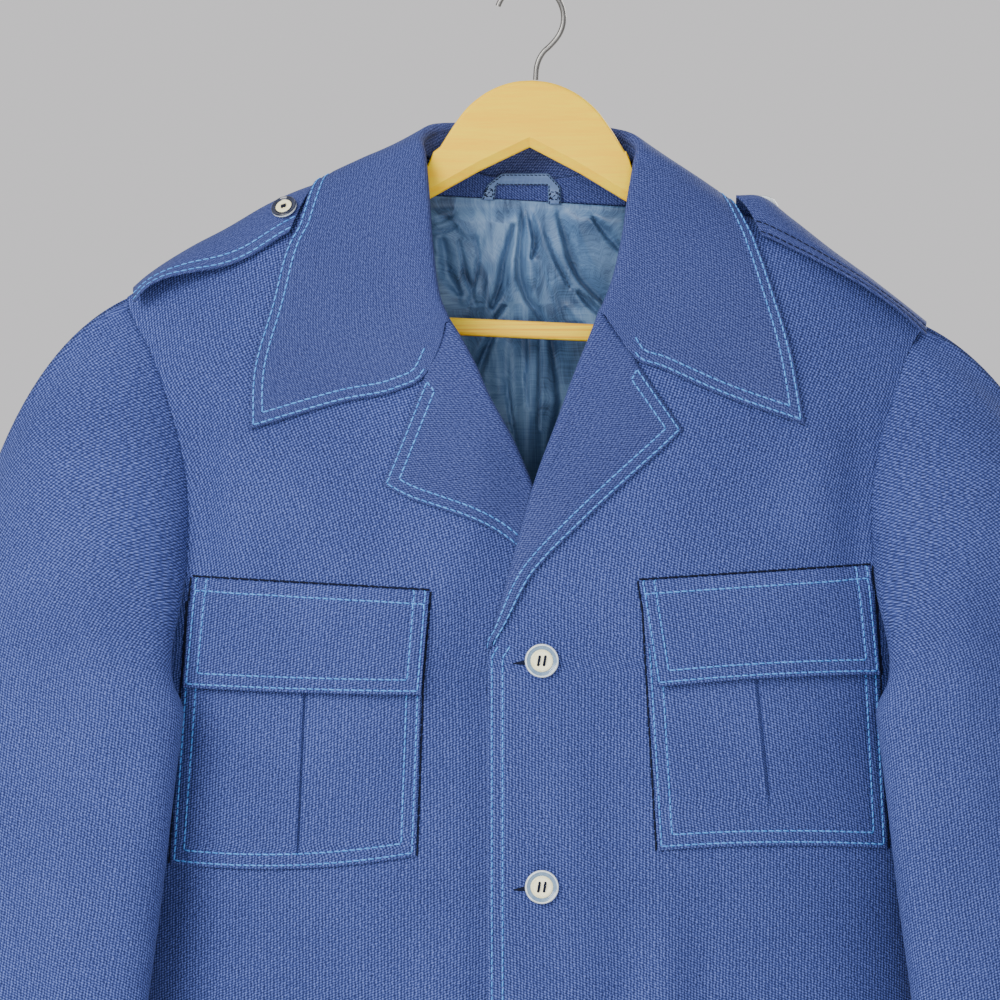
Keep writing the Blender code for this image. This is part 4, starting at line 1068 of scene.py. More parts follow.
@dataclass(frozen=True)
class SewingThread:
    """Spun polyester thread: matt, a little uneven in colour from stitch to stitch."""

    name: str
    colour: str
    worn: str

    def material(self) -> bpy.types.Material:
        """The material: two close tones that change along the rows.

        Returns:
            The material.
        """
        material, tree = new_material(self.name)
        place = node(tree, "TexCoord").outputs["Object"]
        noise = node(tree, "TexNoise", Vector=place, Scale=220.0, Detail=2.0)
        colour = node(tree, "ValToRGB", noise, stops=((0.3, self.worn), (0.7, self.colour)))
        return dress(material, Base_Color=colour, Roughness=0.75, Specular_IOR_Level=0.2)


@dataclass(frozen=True)
class VarnishedBeech:
    """Planed beech under clear varnish: pale yellow, fine grain flecks, a soft wide gloss."""

    name: str
    early: str
    late: str
    along_mm: float = 60.0
    across_mm: float = 3.0  # beech's rings are 1 to 3 mm apart

    def material(self) -> bpy.types.Material:
        """The material: long faint rings and short dark flecks along the grain.

        Returns:
            The material.
        """
        material, tree = new_material(self.name)
        place = node(tree, "TexCoord").outputs["Object"]
        scale = (1 / (self.along_mm * MM), 1 / (self.across_mm * MM), 1 / (self.across_mm * MM))
        along = node(tree, "Mapping", Vector=place, Scale=scale)
        rings = node(tree, "TexNoise", Vector=along, Scale=0.7, Detail=3.0, Distortion=0.3)
        flecks = node(tree, "TexNoise", Vector=along, Scale=3.4, Detail=2.0)
        mix = node(tree, "Math", flecks, 0.35, operation="MULTIPLY")
        tone = node(tree, "Math", rings, 0.65, mix, operation="MULTIPLY_ADD")
        colour = node(tree, "ValToRGB", tone, stops=((0.36, self.late), (0.6, self.early)))
        bump = node(tree, "Bump", Distance=0.08 * MM, Strength=0.25, Height=tone)
        return dress(
            material, Base_Color=colour, Normal=bump, Roughness=0.5, Specular_IOR_Level=0.12,
            Coat_Weight=0.05, Coat_Roughness=0.2,
        )


@dataclass(frozen=True)
class DrawnSteel:
    """Bright drawn steel wire: grey metal, its gloss drawn out along the wire."""

    name: str
    colour: str

    def material(self) -> bpy.types.Material:
        """The material: metal with fine uneven dullness.

        Returns:
            The material.
        """
        material, tree = new_material(self.name)
        place = node(tree, "TexCoord").outputs["Object"]
        noise = node(tree, "TexNoise", Vector=place, Scale=900.0, Detail=3.0)
        dull = node(tree, "MapRange", Value=noise, To_Min=0.22, To_Max=0.42)
        return dress(material, Base_Color=linear(self.colour), Metallic=1.0, Roughness=dull)


@dataclass(frozen=True)
class CastPolyester:
    """Cast and turned polyester button stock: milky, with a hard polish and faint cloudy swirls."""

    name: str
    colour: str
    cloud: str
    roughness: float = 0.22

    def material(self) -> bpy.types.Material:
        """The material: two close tones in soft swirls under a polish.

        Returns:
            The material.
        """
        material, tree = new_material(self.name)
        place = node(tree, "TexCoord").outputs["Object"]
        noise = node(tree, "TexNoise", Vector=place, Scale=260.0, Detail=3.0, Distortion=1.2)
        colour = node(tree, "ValToRGB", noise, stops=((0.35, self.cloud), (0.62, self.colour)))
        return dress(
            material, Base_Color=colour, Roughness=self.roughness, Coat_Weight=0.4, Coat_Roughness=0.1,
        )


def made(finish: Any) -> Any:
    """A dataclass field that holds a finish's material."""
    return field(default_factory=finish.material)


@dataclass
class Finishes:
    """Every material of the jacket, made once."""

    panel: Any = made(DoubleKnit("double_knit_panels", "#151F4C", "#2F3D79", "#6475BE"))
    fine: Any = made(
        DoubleKnit(
            "double_knit_collar", "#18214E", "#303C74", "#56639F",
            unit_mm=0.85, course=1.1, lean=0.8, wale=0.4, relief_mm=0.3, mottle=0.9,
        )
    )
    # the lining's and the tape's broad lighter and darker patches are painted sheen and shade
    lining: Any = made(Satin("satin_lining_woven", "#6F8FB4", "#56769F", "#30476A"))
    loop: Any = made(
        Satin("twill_tape_woven", "#6C88B4", "#57709E", "#475E8A", thread_mm=1.1, painted_sheen=0.3)
    )
    thread: Any = made(SewingThread("topstitch_thread_spun", "#58A4F8", "#4389DC"))
    navy_thread: Any = made(SewingThread("navy_thread_spun", "#0E1633", "#090E22"))
    wood: Any = made(VarnishedBeech("beech_varnished", "#FFD720", "#FFC716"))
    bar: Any = made(
        VarnishedBeech("beech_bar_turned", "#FFDE3C", "#EFA016", along_mm=80.0, across_mm=1.1)
    )
    steel: Any = made(DrawnSteel("steel_wire_drawn", "#7A7977"))
    rim: Any = made(CastPolyester("button_rim_cast", "#7F9BB8", "#6C88A8"))
    lip: Any = made(CastPolyester("button_lip_cast", "#EAF2F4", "#D2DEE6"))
    disc: Any = made(CastPolyester("button_centre_cast", "#FFFCD2", "#F8F2BE"))
    dark_rim: Any = made(
        CastPolyester("strap_button_rim_cast", "#1A2440", "#0E1428", roughness=0.12)
    )


# ---- the cut pieces ----
# shares of the way from the shoulder seam down to the underarm
DOWN_TO_UNDERARM = (0, 0.012, 0.045, 0.1, 0.175, 0.27, 0.38, 0.5, 0.62, 0.74, 0.84, 0.91, 0.96, 1)


@dataclass(frozen=True)
class Fronts:
    """The two fronts, from the shoulder seam to the hem, with the front edge's rows of stitches."""

    body: Body
    roll_radius: float = 3.6
    neck_cut: float = 4.0
    # how far in and how far behind its edge each point of the seam allowance lies
    allowance: Table = ((1.0, 1.3), (2.4, 3.6))
    rows: tuple[float, ...] = (3.2, 9.6)
    low_rows: int = 62
    width: float = 240.0
    collar_from: tuple[float, float] = (-215.0, -170.0)  # heights between which the collar covers it

    def inner(self, side: Side, z: Any) -> Any:
        """The cut inner edge: a little under the roll and the collar.

        Args:
            side: the wearer's side.
            z: the height.

        Returns:
            The edge's x.
        """
        start = self.body.break_z[side]
        under_roll = (self.roll_radius + 0.4) * step(start - 12, start, z)
        under_collar = self.neck_cut * step(*self.collar_from, z)
        return self.body.roll_x(side, z) + side * (under_roll + under_collar)

    def panel(self, side: Side) -> Panel:
        """One front's grid, pressed along its stitches below the lapel.

        Args:
            side: the wearer's side.

        Returns:
            The front.
        """
        body = self.body
        columns = banded(self.width, True, False, 5.0)
        rows, heights = [], []
        for share in finer(DOWN_TO_UNDERARM, 5):
            x0 = body.edge_place(lambda z: self.inner(side, z), body.shoulder_z, share)
            x1 = body.edge_place(lambda z: side * curve(body.armhole, 1, z), body.shoulder_z, share)
            x = x0 + (x1 - x0) * columns
            z = body.shoulder_z(x) + (body.underarm_z - body.shoulder_z(x)) * share
            rows.append(body.on_front(side, x, z))
            heights.append(z[0])
        for z in np.linspace(body.underarm_z, body.hem_z, self.low_rows)[1:]:
            x1 = side * float(curve(body.levels, 1, z))
            x0 = float(self.inner(side, z))
            rows.append(body.on_front(side, x0 + (x1 - x0) * columns, np.full(len(columns), z)))
            heights.append(z)
        grid = self.with_allowance(side, np.array(rows), np.array(heights))
        heights = heights[:1] * len(self.allowance) + heights
        panel = Panel(f"front_{side.word}_cloth", grid, body.wall, flip=side == Side.RIGHT)
        start = body.break_z[side]
        below = step(start - 2, start - 12, np.array(heights))[:, None]
        panel.press({Edge.FIRST_COLUMN: below}, self.rows)
        panel.press({Edge.LAST_COLUMN: 1 - step(-400, -440, np.array(heights))[:, None]}, ())
        return panel

    def with_allowance(self, side: Side, grid: Array, heights: Array) -> Array:
        """The grid with the seam allowances that lie under the back's side and shoulder edges.

        Args:
            side: the wearer's side.
            grid: the front's points.
            heights: each row's height at its inner edge.

        Returns:
            The larger grid.
        """
        below = step(self.body.underarm_z + 2, self.body.underarm_z - 10, heights)[:, None]
        edge, columns = grid[:, -1], []
        for inward, behind in self.allowance:
            turned = np.array([-side * inward, behind, 0])
            flat = np.array([side * inward * 0.02, 0, 0])
            columns.append(edge + below * turned + (1 - below) * flat)
        grid = np.concatenate([grid, np.stack(columns, 1)], 1)
        rows = [grid[0] + np.array([0, behind, -inward]) for inward, behind in reversed(self.allowance)]
        return np.concatenate([np.array(rows), grid], 0)

    def make(self, side: Side, finishes: Finishes, sewing: Sewing) -> None:
        """Builds one front and sews its edge.

        Args:
            side: the wearer's side.
            finishes: the jacket's materials.
            sewing: the thread that it is sewn with.
        """
        panel = self.panel(side)
        panel.piece(finishes.panel, Slot.KNIT, f"front_{side.word}", ["hanger_arms"])
        for distance in self.rows:
            line = panel.line(Edge.FIRST_COLUMN, distance)
            sewing.row(line[line[:, 2] < self.body.break_z[side] - 3])


@dataclass(frozen=True)
class BackPanel:
    """The back in one piece, plain, from the neckline and shoulder seams to the hem."""

    body: Body
    # shares of the way from the middle to the side
    columns: tuple[float, ...] = (
        0, 0.09, 0.175, 0.225, 0.262, 0.33, 0.43, 0.54, 0.65, 0.75, 0.83, 0.9, 0.955, 1,
    )
    low_rows: int = 62

    def grid(self, top: Rule, low_z: float, down: Array, half: Array,
             inset: float = 0.0, sink: float = 0.0) -> Array:
        """The back's surface between an upper edge and a height, or one parallel to it inside.

        Args:
            top: the height of the upper edge at an x.
            low_z: height of the lower edge.
            down: shares of the way from the upper edge to the underarm.
            half: shares of the way from the middle to the side.
            inset: how far inside the back's side edges it ends.
            sink: how far inside the back's surface it lies.

        Returns:
            The points, row by row.
        """
        body = self.body
        spread = np.concatenate([-half[:0:-1], half])
        rows = []
        for share in down:
            reach = []
            for side in Side:
                reach.append(body.edge_place(
                    lambda z: side * (curve(body.armhole, 2, z) - inset), top, share,
                ))
            x = (reach[0] + reach[1]) / 2 + (reach[1] - reach[0]) / 2 * spread
            x = x if reach[0] < reach[1] else x[::-1]
            rows.append(self.inside(x, top(x) + (body.underarm_z - top(x)) * share, inset, sink))
        for z in np.linspace(body.underarm_z, low_z, self.low_rows)[1:]:
            x = (float(curve(body.levels, 1, z)) - inset) * spread
            rows.append(self.inside(x, np.full_like(x, z), inset, sink))
        return np.array(rows)

    def inside(self, x: Array, z: Array, inset: float, sink: float) -> Array:
        """Points of a surface inside the back, nearer the middle at the sides by inset.

        Args:
            x: the places' x.
            z: their height.
            inset: how much nearer the middle.
            sink: how far inside the back's surface.

        Returns:
            The points.
        """
        half = curve(self.body.levels, 1, z)
        points = self.body.on_body(x * half / (half - inset / 2), z, Face.BACK, -sink)
        points[..., 0] = x
        return points

    def make(self, finishes: Finishes) -> None:
        """Builds the back.

        Args:
            finishes: the jacket's materials.
        """
        down, half = finer(DOWN_TO_UNDERARM, 5), finer(self.columns, 3)
        grid = self.grid(self.body.back_top, self.body.hem_z, down, half)
        panel = Panel("back_cloth", grid, self.body.wall, flip=True)
        panel.piece(finishes.panel, Slot.KNIT, "back", ["hanger_arms"])


@dataclass(frozen=True)
class Sleeves:
    """The set-in sleeves: a cap that rolls out of the armhole, then a tapered tube to the cuff."""

    body: Body
    tuck: float = 1.2  # how far the sleeve's head starts inside the armhole's edge, as it is sewn
    underarm_turn: float = 215.0
    # height, distance out, y, half width, half depth, lean in degrees
    rings: Table = (
        (-432, 277, -36, 80, 38, 27), (-480, 283, -38, 80, 38, 27), (-540, 288, -41, 78, 37, 27),
        (-600, 294, -45, 76, 35, 27), (-660, 298, -50, 74, 34, 27), (-730, 303, -57, 71, 32, 27),
        (-795, 307, -64, 67, 30, 27),
    )
    # turn, then the direction in which the cloth leaves the armhole: out, y, z
    leaves: Table = (
        (0, 1, 0, -0.45), (45, 0.85, -0.5, -0.5), (90, 0.5, -0.7, -0.5), (130, 0.15, -0.8, -0.5),
        (165, 0.05, -0.75, -0.65), (190, 0.1, -0.85, -0.5), (215, 0.55, -0.65, -0.4),
        (235, 0.95, 0.2, -0.3), (270, 0.9, 0.5, -0.4), (315, 0.95, 0.35, -0.5), (360, 1, 0, -0.45),
    )
    down: tuple[float, ...] = (0, 0.08, 0.17, 0.27, 0.38, 0.49, 0.6, 0.7, 0.79, 0.87, 0.93, 0.97)
    up: tuple[float, ...] = (1, 0.96, 0.89, 0.79, 0.67, 0.54, 0.41, 0.28, 0.16, 0.07)
    cap_shares: tuple[float, ...] = (0, 0.1, 0.24, 0.4, 0.58, 0.78)
    leave_pull: float = 0.95  # how strongly the cap keeps the armhole's direction
    tube_pull: float = 0.9  # and the tube's
    tube_rows: int = 56
    flare: float = 3.0  # how much further the cap stands off the body than the seam does
    clear_below: tuple[float, float] = (-365.0, -385.0)  # heights below which it does so
    turned_in: float = 1.4  # how far the seam's edge is turned toward the middle of the armhole
    # distance out, y and z at both ends, half width and height of each crease, as worn cloth breaks
    creases: Table = (
        (262, -70, -300, 250, -78, -470, 12, 2.2), (300, -75, -330, 290, -80, -520, 14, -2.6),
        (232, -74, -420, 262, -84, -560, 11, -2), (330, -40, -380, 345, -30, -600, 16, 2.2),
        (280, -82, -520, 262, -88, -700, 13, 2), (306, -86, -560, 300, -92, -760, 12, -2.2),
        (350, -30, -480, 352, -34, -720, 14, -2), (270, 10, -420, 300, 12, -600, 15, -2.4),
        (310, 10, -360, 330, 0, -520, 14, 2), (250, -10, -500, 262, -20, -680, 12, 2),
        (300, -10, -620, 296, -24, -780, 13, -2), (240, -84, -600, 250, -92, -760, 10, -1.6),
    )

    def armhole(self, side: Side) -> list[tuple[Array, float]]:
        """The armhole's points with their turn round a ring, from the shoulder tip by the front.

        Args:
            side: the wearer's side.

        Returns:
            Each point with its turn in degrees.
        """
        loop = []
        down = finer([*self.down, 1.0], 4)[:-1]
        up = finer([*self.up, 0.0], 4)[:-1]
        for i, share in enumerate(down):
            loop.append((self.point(side, share, Face.FRONT), self.underarm_turn * i / len(down)))
        for i, share in enumerate(up):
            turn = self.underarm_turn + (360 - self.underarm_turn) * i / len(up)
            loop.append((self.point(side, share, Face.BACK), turn))
        return loop

    def point(self, side: Side, share: float, face: Face) -> Array:
        """A point on the armhole, from the shoulder tip (0) down to the underarm (1).

        Args:
            side: the wearer's side.
            share: the share of the way down.
            face: the front or the back.

        Returns:
            The point.
        """
        body = self.body
        column = 1 if face == Face.FRONT else 2
        x = body.edge_place(lambda z: side * curve(body.armhole, column, z), body.shoulder_z, share)
        z = float(body.shoulder_z(x) + (body.underarm_z - body.shoulder_z(x)) * share)
        place = body.on_body(x, z, face)
        place[1] *= min(1.0, share * 12, (1 - share) * 12)
        return place

    def ring(self, side: Side, z: float, turn: float) -> Array:
        """A point of the tube at a height. 0 degrees is its outer edge and 90 its front.

        Args:
            side: the wearer's side.
            z: the height.
            turn: the place round the tube in degrees.

        Returns:
            The point.
        """
        out, y, half_width, half_depth, lean = (float(curve(self.rings, k, z)) for k in range(1, 6))
        a, lean = math.radians(turn), math.radians(lean)
        long, short = half_width * math.cos(a), -half_depth * math.sin(a)
        across = out + long * math.cos(lean) - short * math.sin(lean)
        return np.array([side * across, y + long * math.sin(lean) + short * math.cos(lean), z])

    def clear_of_side(self, point: Array, gap: float) -> Array:
        """A point pushed out of the body's oval section, where it lies closer to it than gap.

        Args:
            point: the point to push.
            gap: the least distance from the section.

        Returns:
            The point, clear of it.
        """
        x, y, z = point
        body = self.body
        power = body.side_round
        half = float(curve(body.levels, 1, z)) + gap
        deep = float(curve(body.levels, 2 if y < 0 else 3, z)) + gap
        share = ((abs(x) / half) ** power + (abs(y) / deep) ** power) ** (1 / power)
        return np.array([x / share, y / share, z]) if share < 1 else point

    def panel(self, side: Side) -> Panel:
        """One sleeve's grid with its creases.

        Args:
            side: the wearer's side.

        Returns:
            The sleeve.
        """
        first_z = self.rings[0][0]
        columns = []
        for start, turn in self.armhole(side):
            start = start + np.array([-side * self.tuck, 0, 0])
            start[1] -= np.sign(start[1]) * min(self.turned_in, abs(start[1]))
            end = self.ring(side, first_z, turn)
            leave = unit(np.array([lines(self.leaves, k, turn) for k in (1, 2, 3)]))
            leave[0] *= side
            reach = np.linalg.norm(end - start)
            down = np.array([side * 0.1, 0, -1])
            column = []
            for t in finer([*self.cap_shares, 1.0], 5)[:-1]:
                point = start * (1 + 2 * t) * (1 - t) ** 2 + end * t**2 * (3 - 2 * t)
                pull = self.leave_pull * leave * (1 - t) - self.tube_pull * down * t
                point = point + reach * t * (1 - t) * pull
                gap = self.body.seam_gap + self.flare * float(step(0, 0.24, t))
                gap *= float(step(*self.clear_below, point[2]))
                column.append(self.clear_of_side(point, gap) if gap > 0 else point)
            heights = np.linspace(first_z, self.rings[-1][0], self.tube_rows)
            column += [self.ring(side, z, turn) for z in heights]
            columns.append(column)
        grid = np.array(columns).swapaxes(0, 1)
        panel = Panel(f"sleeve_{side.word}_cloth", grid, self.body.wall, closed=True, flip=side == Side.LEFT)
        for out0, y0, z0, out1, y1, z1, half, high in self.creases:
            panel.crease((side * out0, y0, z0), (side * out1, y1, z1), half, high)
        return panel

    def make(self, side: Side, finishes: Finishes) -> None:
        """Builds one sleeve."""
        self.panel(side).piece(finishes.panel, Slot.KNIT, f"sleeve_{side.word}", ["hanger_arms"])


@dataclass(frozen=True)
class Lapels:
    """The lapels: the facing turned back at the roll line, stitched round its free edges."""

    body: Body
    roll_radius: float = 3.6
    roll_return: float = 5.0
    foot: float = 0.8  # place up to which the lapel's foot sinks flush with the front
    foot_sink: float = 2.4
    tuck: float = 6.7  # place from which the lapel goes under the collar by the roll
    tuck_sink: float = 1.1
    wall: float = 1.8
    rows: tuple[float, ...] = (2.6, 8.6)
    # place from the break up to the gorge, height of the roll, outer edge's x and z
    places: dict[Side, Table] = by_side(
        left=(
            (0, -391, -21, -389), (0.4, -380, -13.5, -376), (1, -356, -3, -355.5),
            (2, -333, 9, -339), (3, -305, 28, -320),
            (4, -277, 47, -302), (5, -250, 64, -286.5), (6, -222, 78, -274),
            (7, -190.5, 90.5, -262),
        ),
        right=(
            (0, -388, 25, -384), (1, -366, 12, -358), (2, -341, -2, -337),
            (3, -312, -20, -322.5), (4, -283, -38, -314), (5, -255, -56, -308),
            (6, -226, -72, -302.5), (7, -195, -87, -294.5),
        ),
    )
    # how far from the roll the notch is, where the lapel comes free of the collar
    notch: dict[Side, float] = by_side(46.0, 44.0)

    def panel(self, side: Side) -> Panel:
        """One lapel's grid: a return inside, the roll, then out to the edge.

        Args:
            side: the wearer's side.

        Returns:
            The lapel.
        """
        table = self.places[side]
        centre = -self.body.wall / 2
        flat = self.body.lie_gap + self.wall
        rise = centre + self.roll_radius - flat
        grid = []
        for place in banded(table[-1][0], False, False, table[-1][0] / 62) * table[-1][0]:
            roll_z, out_x, out_z = (float(curve(table, k, place)) for k in (1, 2, 3))
            start = np.array([float(self.body.roll_x(side, roll_z)), roll_z])
            across = np.array([out_x, out_z]) - start
            width = np.linalg.norm(across)
            across /= width
            sections = [(self.roll_radius + min(self.roll_return, width * 0.4), centre - self.roll_radius)]
            for a in np.radians(range(-90, 91, ROLL_STEP)):
                turned = self.roll_radius * (1 - math.cos(a))
                sections.append((turned, centre + self.roll_radius * math.sin(a)))
            shares = np.linspace(0, 1, 40)
            if width > 40:
                shares = banded(width - self.roll_radius, False, True, 4.0)
            for share in shares:
                if share > 0:
                    reach = self.roll_radius + (width - self.roll_radius) * share
                    sections.append((reach, flat + rise * (1 - share) ** 2 + math.sin(math.pi * share)))
            sunk = self.foot_sink * float(step(self.foot, 0, place))
            under = self.tuck_sink * float(step(self.tuck, table[-1][0], place))
            laid = [(reach, lift - sunk - under * float(step(40, 20, reach))) for reach, lift in sections]
            grid.append((start, across, width, laid))
        return self.lay(side, grid)

    def lay(self, side: Side, grid: list) -> Panel:
        """Lays the sections on the front, all with the same number of points.

        Args:
            side: the wearer's side.
            grid: for each row its start, its direction, its width and its points' reach and lift.

        Returns:
            The lapel.
        """
        rows = []
        for start, across, width, sections in grid:
            sections = np.array(sections)
            turned, flat = sections[:12], sections[12:]
            shares = (flat[:, 0] - self.roll_radius) / (width - self.roll_radius)
            wanted = banded(120 - self.roll_radius, False, True, 4.0)[1:]
            flat = np.stack([np.interp(wanted, shares, flat[:, k]) for k in range(2)], 1)
            sections = np.vstack([turned, flat])
            places = start + across * sections[:, :1]
            rows.append(self.body.on_front(side, places[:, 0], places[:, 1], sections[:, 1]))
        return Panel(f"lapel_{side.word}_cloth", np.array(rows), self.wall, flip=side == Side.LEFT)

    def make(self, side: Side, finishes: Finishes, sewing: Sewing) -> None:
        """Builds one lapel and sews two rows round it, closed by the notch.

        Args:
            side: the wearer's side.
            finishes: the jacket's materials.
            sewing: the thread that it is sewn with.
        """
        panel = self.panel(side)
        from_roll = panel.run(1)[-1]
        free = step(self.notch[side] - 1, self.notch[side] + 1, from_roll - self.roll_radius)
        panel.press({Edge.LAST_COLUMN: 1.0, Edge.LAST_ROW: free[None, :]}, self.rows)
        panel.piece(finishes.fine, Slot.KNIT, f"lapel_{side.word}", [f"front_{side.word}"])
        ends = []
        for distance in self.rows:
            lower = panel.line(Edge.LAST_COLUMN, distance)
            upper = panel.line(Edge.LAST_ROW, distance)[::-1]
            upper = upper[lengths(upper) < lengths(upper)[-1] - self.notch[side] - self.roll_radius * 2]
            ends.append(sewing.corners(lower, upper)[-1])
        sewing.row(np.array(ends))


@dataclass(frozen=True)
class Collar:
    """The collar: stand and fall in one, turned over at the neck, its long points on the chest."""

    body: Body
    roll_radius: float = 3.6
    wall: float = 1.8
    rows: tuple[float, ...] = (2.7, 8.2)
    # place round the neck; the roll; where the stand is sewn on; the outer edge; its face; its lift
    places: dict[Side, Table] = by_side(
        left=(
            (0, 40.5, -46, -193, 40.5, -44, -193, 162, -259, -1, 2.6),
            (0.12, 48, -42, -174, 50, -40, -176, 155, -218, -1, 3),
            (0.26, 54, -35, -148, 57, -33, -152, 144, -180, -1, 3.6),
            (0.4, 57.5, -26, -124, 61, -22, -130, 134, -152, -1, 4.4),
            (0.5, 61, -15, -104, 62.5, -13, -110, 125, -138, -1, 5.6),
            (0.6, 62.5, -2, -93, 63.5, -1, -102, 114, -133, 1, 6),
            (0.7, 54, 12, -86, 52.5, 11.5, -106.5, 98, -134, 1, 5),
            (0.8, 39, 21, -82, 39, 17, -111.2, 74, -144, 1, 4),
            (0.9, 20, 28, -79.5, 20, 20.4, -115.4, 38, -151, 1, 3.6),
            (1, 0, 31, -79, 0, 21.4, -117, 0, -153, 1, 3.4),
        ),
        right=(
            (0, -46.5, -46, -198, -46.5, -44, -198, -165, -262, -1, 2.6),
            (0.12, -53, -42, -182, -55, -40, -184, -164, -228, -1, 3),
            (0.26, -57, -35, -152, -60, -33, -155, -153, -188, -1, 3.6),
            (0.4, -59, -26, -124, -62, -22, -128, -144, -154, -1, 4.6),
            (0.5, -61, -15, -101, -62.5, -13, -107, -134, -135, -1, 6.8),
            (0.6, -62.5, -2, -89.5, -63.5, -1, -99.2, -121, -122, 1, 6.8),
            (0.7, -54, 12, -82, -52.5, 11.5, -104.5, -102, -126, 1, 5),
            (0.8, -39, 21, -80, -39, 17, -110.8, -74, -141, 1, 4),
            (0.9, -20, 28, -79, -20, 20.4, -115.4, -38, -150, 1, 3.6),
            (1, 0, 31, -79, 0, 21.4, -117, 0, -153, 1, 3.4),
        ),
    )
    # share along the free end from the notch to the tip, x and z
    ends: dict[Side, Table] = by_side(
        left=(
            (0, 40.5, -193), (0.1, 48, -204), (0.2, 58.5, -219), (0.35, 75, -226),
            (0.6, 109, -241), (1, 162, -259),
        ),
        right=(
            (0, -46.5, -198), (0.1, -50, -212), (0.2, -59, -229.5), (0.35, -76, -239),
            (0.6, -108, -246), (1, -165, -262),
        ),
    )
    round_shares: tuple[float, ...] = (
        0, 0.06, 0.13, 0.2, 0.28, 0.36, 0.44, 0.51, 0.58, 0.65, 0.73, 0.81, 0.9, 1,
    )
    # more rows at each end, where the stitches run
    end_shares: tuple[float, ...] = (
        0.004, 0.009, 0.014, 0.02, 0.028, 0.036, 0.05, 0.065, 0.075, 0.085,
    )
    on_chest: tuple[float, float] = (0.36, 0.58)  # places between which it leaves the chest
    seam_in: float = 3.4  # how far beyond the roll the stand is sewn on at the chest
    bend_to: float = 0.3  # place up to which the free end's bend reaches
    bow: float = 2.5  # how far the fall bows out
    fall_length: float = 118.0
    # how far along the free end the collar comes clear of the lapel
    notch: dict[Side, float] = by_side(30.0, 33.0)

    def row(self, side: Side, at: float) -> Array:
        """One row, from where the stand is sewn on, over the roll, to the outer edge.

        Args:
            side: the wearer's side.
            at: the place round the neck, from 0 at the gorge to 1 at the centre of the back.

        Returns:
            The row's points.
        """
        body, table = self.body, self.places[side]
        rounds = tuple((r[0], -r[9] * math.sqrt(float(body.shoulder_z(r[7])) - r[8])) for r in table)
        round_by = float(curve(rounds, 1, at))
        on_chest = float(1 - step(*self.on_chest, at))

        def read(column: int, place: float = at) -> float:
            """One value of the table."""
            return float(curve(table, column, place))

        def roll(place: float) -> Array:
            """The visible inner edge.

            Args:
                place: the place round the neck.

            Returns:
                The point.
            """
            x, z = read(1, place), read(3, place)
            chest = float(1 - step(*self.on_chest, place))
            laid = -float(body.depth(x, z, Face.FRONT)) - body.seam_gap / 2 + body.wall / 2
            return np.array([x, chest * laid + (1 - chest) * read(2, place), z])

        start = roll(at)
        edge = body.over_shoulder(read(7), round_by, read(10))
        along = unit(roll(min(at + 0.02, 1.0)) - roll(max(at - 0.02, 0.0)))
        across = unit(edge - start)
        near = start + across * 14.0
        laid_on = unit(body.on_body(near[0], near[2], Face.FRONT, -body.wall / 2) - start)
        across = unit(across * (1 - on_chest) + laid_on * on_chest)
        normal = side * unit(np.cross(across, along))
        radius = self.roll_radius
        sunk = -body.wall / 2 - radius - 0.4
        on_neck = body.on_body(start[0] + side * (radius + self.seam_in), start[2], Face.FRONT, sunk)
        neck = on_chest * on_neck + (1 - on_chest) * np.array([read(4), read(5), read(6)])
        bottom = start + across * radius - normal * radius
        points = [neck + (bottom - neck) * share for share in np.linspace(0, 1, 8)[:-1]]
        for a in np.radians(range(-90, 91, ROLL_STEP)):
            points.append(start + across * radius * (1 - math.cos(a)) + normal * radius * math.sin(a))
        top = points[-1]
        bend = (1 - np.clip(at / self.bend_to, 0, 1)) ** 2
        ends = self.ends[side]
        base, tip = np.array(ends[0][1:]), np.array(ends[-1][1:])
        fall = []
        for share in banded(self.fall_length, False, True, 3.4)[1:]:
            point = top + (edge - top) * share + normal * self.bow * math.sin(math.pi * share)
            end = np.array([float(curve(ends, 1, share)), float(curve(ends, 2, share))])
            shift = (end - (base + (tip - base) * share)) * bend
            fall.append(point + np.array([shift[0], 0, shift[1]]))
        points += list(body.clear_of(np.array(fall), body.lie_gap + self.wall))
        return np.array(points)

    def panel(self) -> Panel:
        """The whole collar, from one gorge seam round the neck to the other.

        Returns:
            The collar.
        """
        shares = np.array(sorted({*np.round(finer(self.round_shares, 5), 5), *self.end_shares}))
        right = [self.row(Side.RIGHT, at) for at in shares[:-1]]
        left = [self.row(Side.LEFT, at) for at in shares]
        return Panel("collar_cloth", np.array(right + left[::-1]), self.wall)

    def make(self, finishes: Finishes, sewing: Sewing) -> None:
        """Builds the collar and sews two rows round its free edges.

        Args:
            finishes: the jacket's materials.
            sewing: the thread that it is sewn with.
        """
        panel = self.panel()
        edges = {Edge.LAST_COLUMN: 1.0}
        for side, edge in ((Side.RIGHT, Edge.FIRST_ROW), (Side.LEFT, Edge.LAST_ROW)):
            row = panel.run(1)[0 if edge == Edge.FIRST_ROW else -1]
            edges[edge] = step(self.notch[side] + 16, self.notch[side] + 20, row)[None, :]
        panel.press(edges, self.rows)
        panel.piece(finishes.fine, Slot.KNIT, "collar", ["back", "front_left", "front_right"])
        for distance in self.rows:
            outer = panel.line(Edge.LAST_COLUMN, distance)
            first = panel.line(Edge.FIRST_ROW, distance)
            last = panel.line(Edge.LAST_ROW, distance)[::-1]
            first = cut(first, self.notch[Side.RIGHT] + 18)
            last = cut(last, 0, self.notch[Side.LEFT] + 18)
            sewing.corners(first, outer, last)


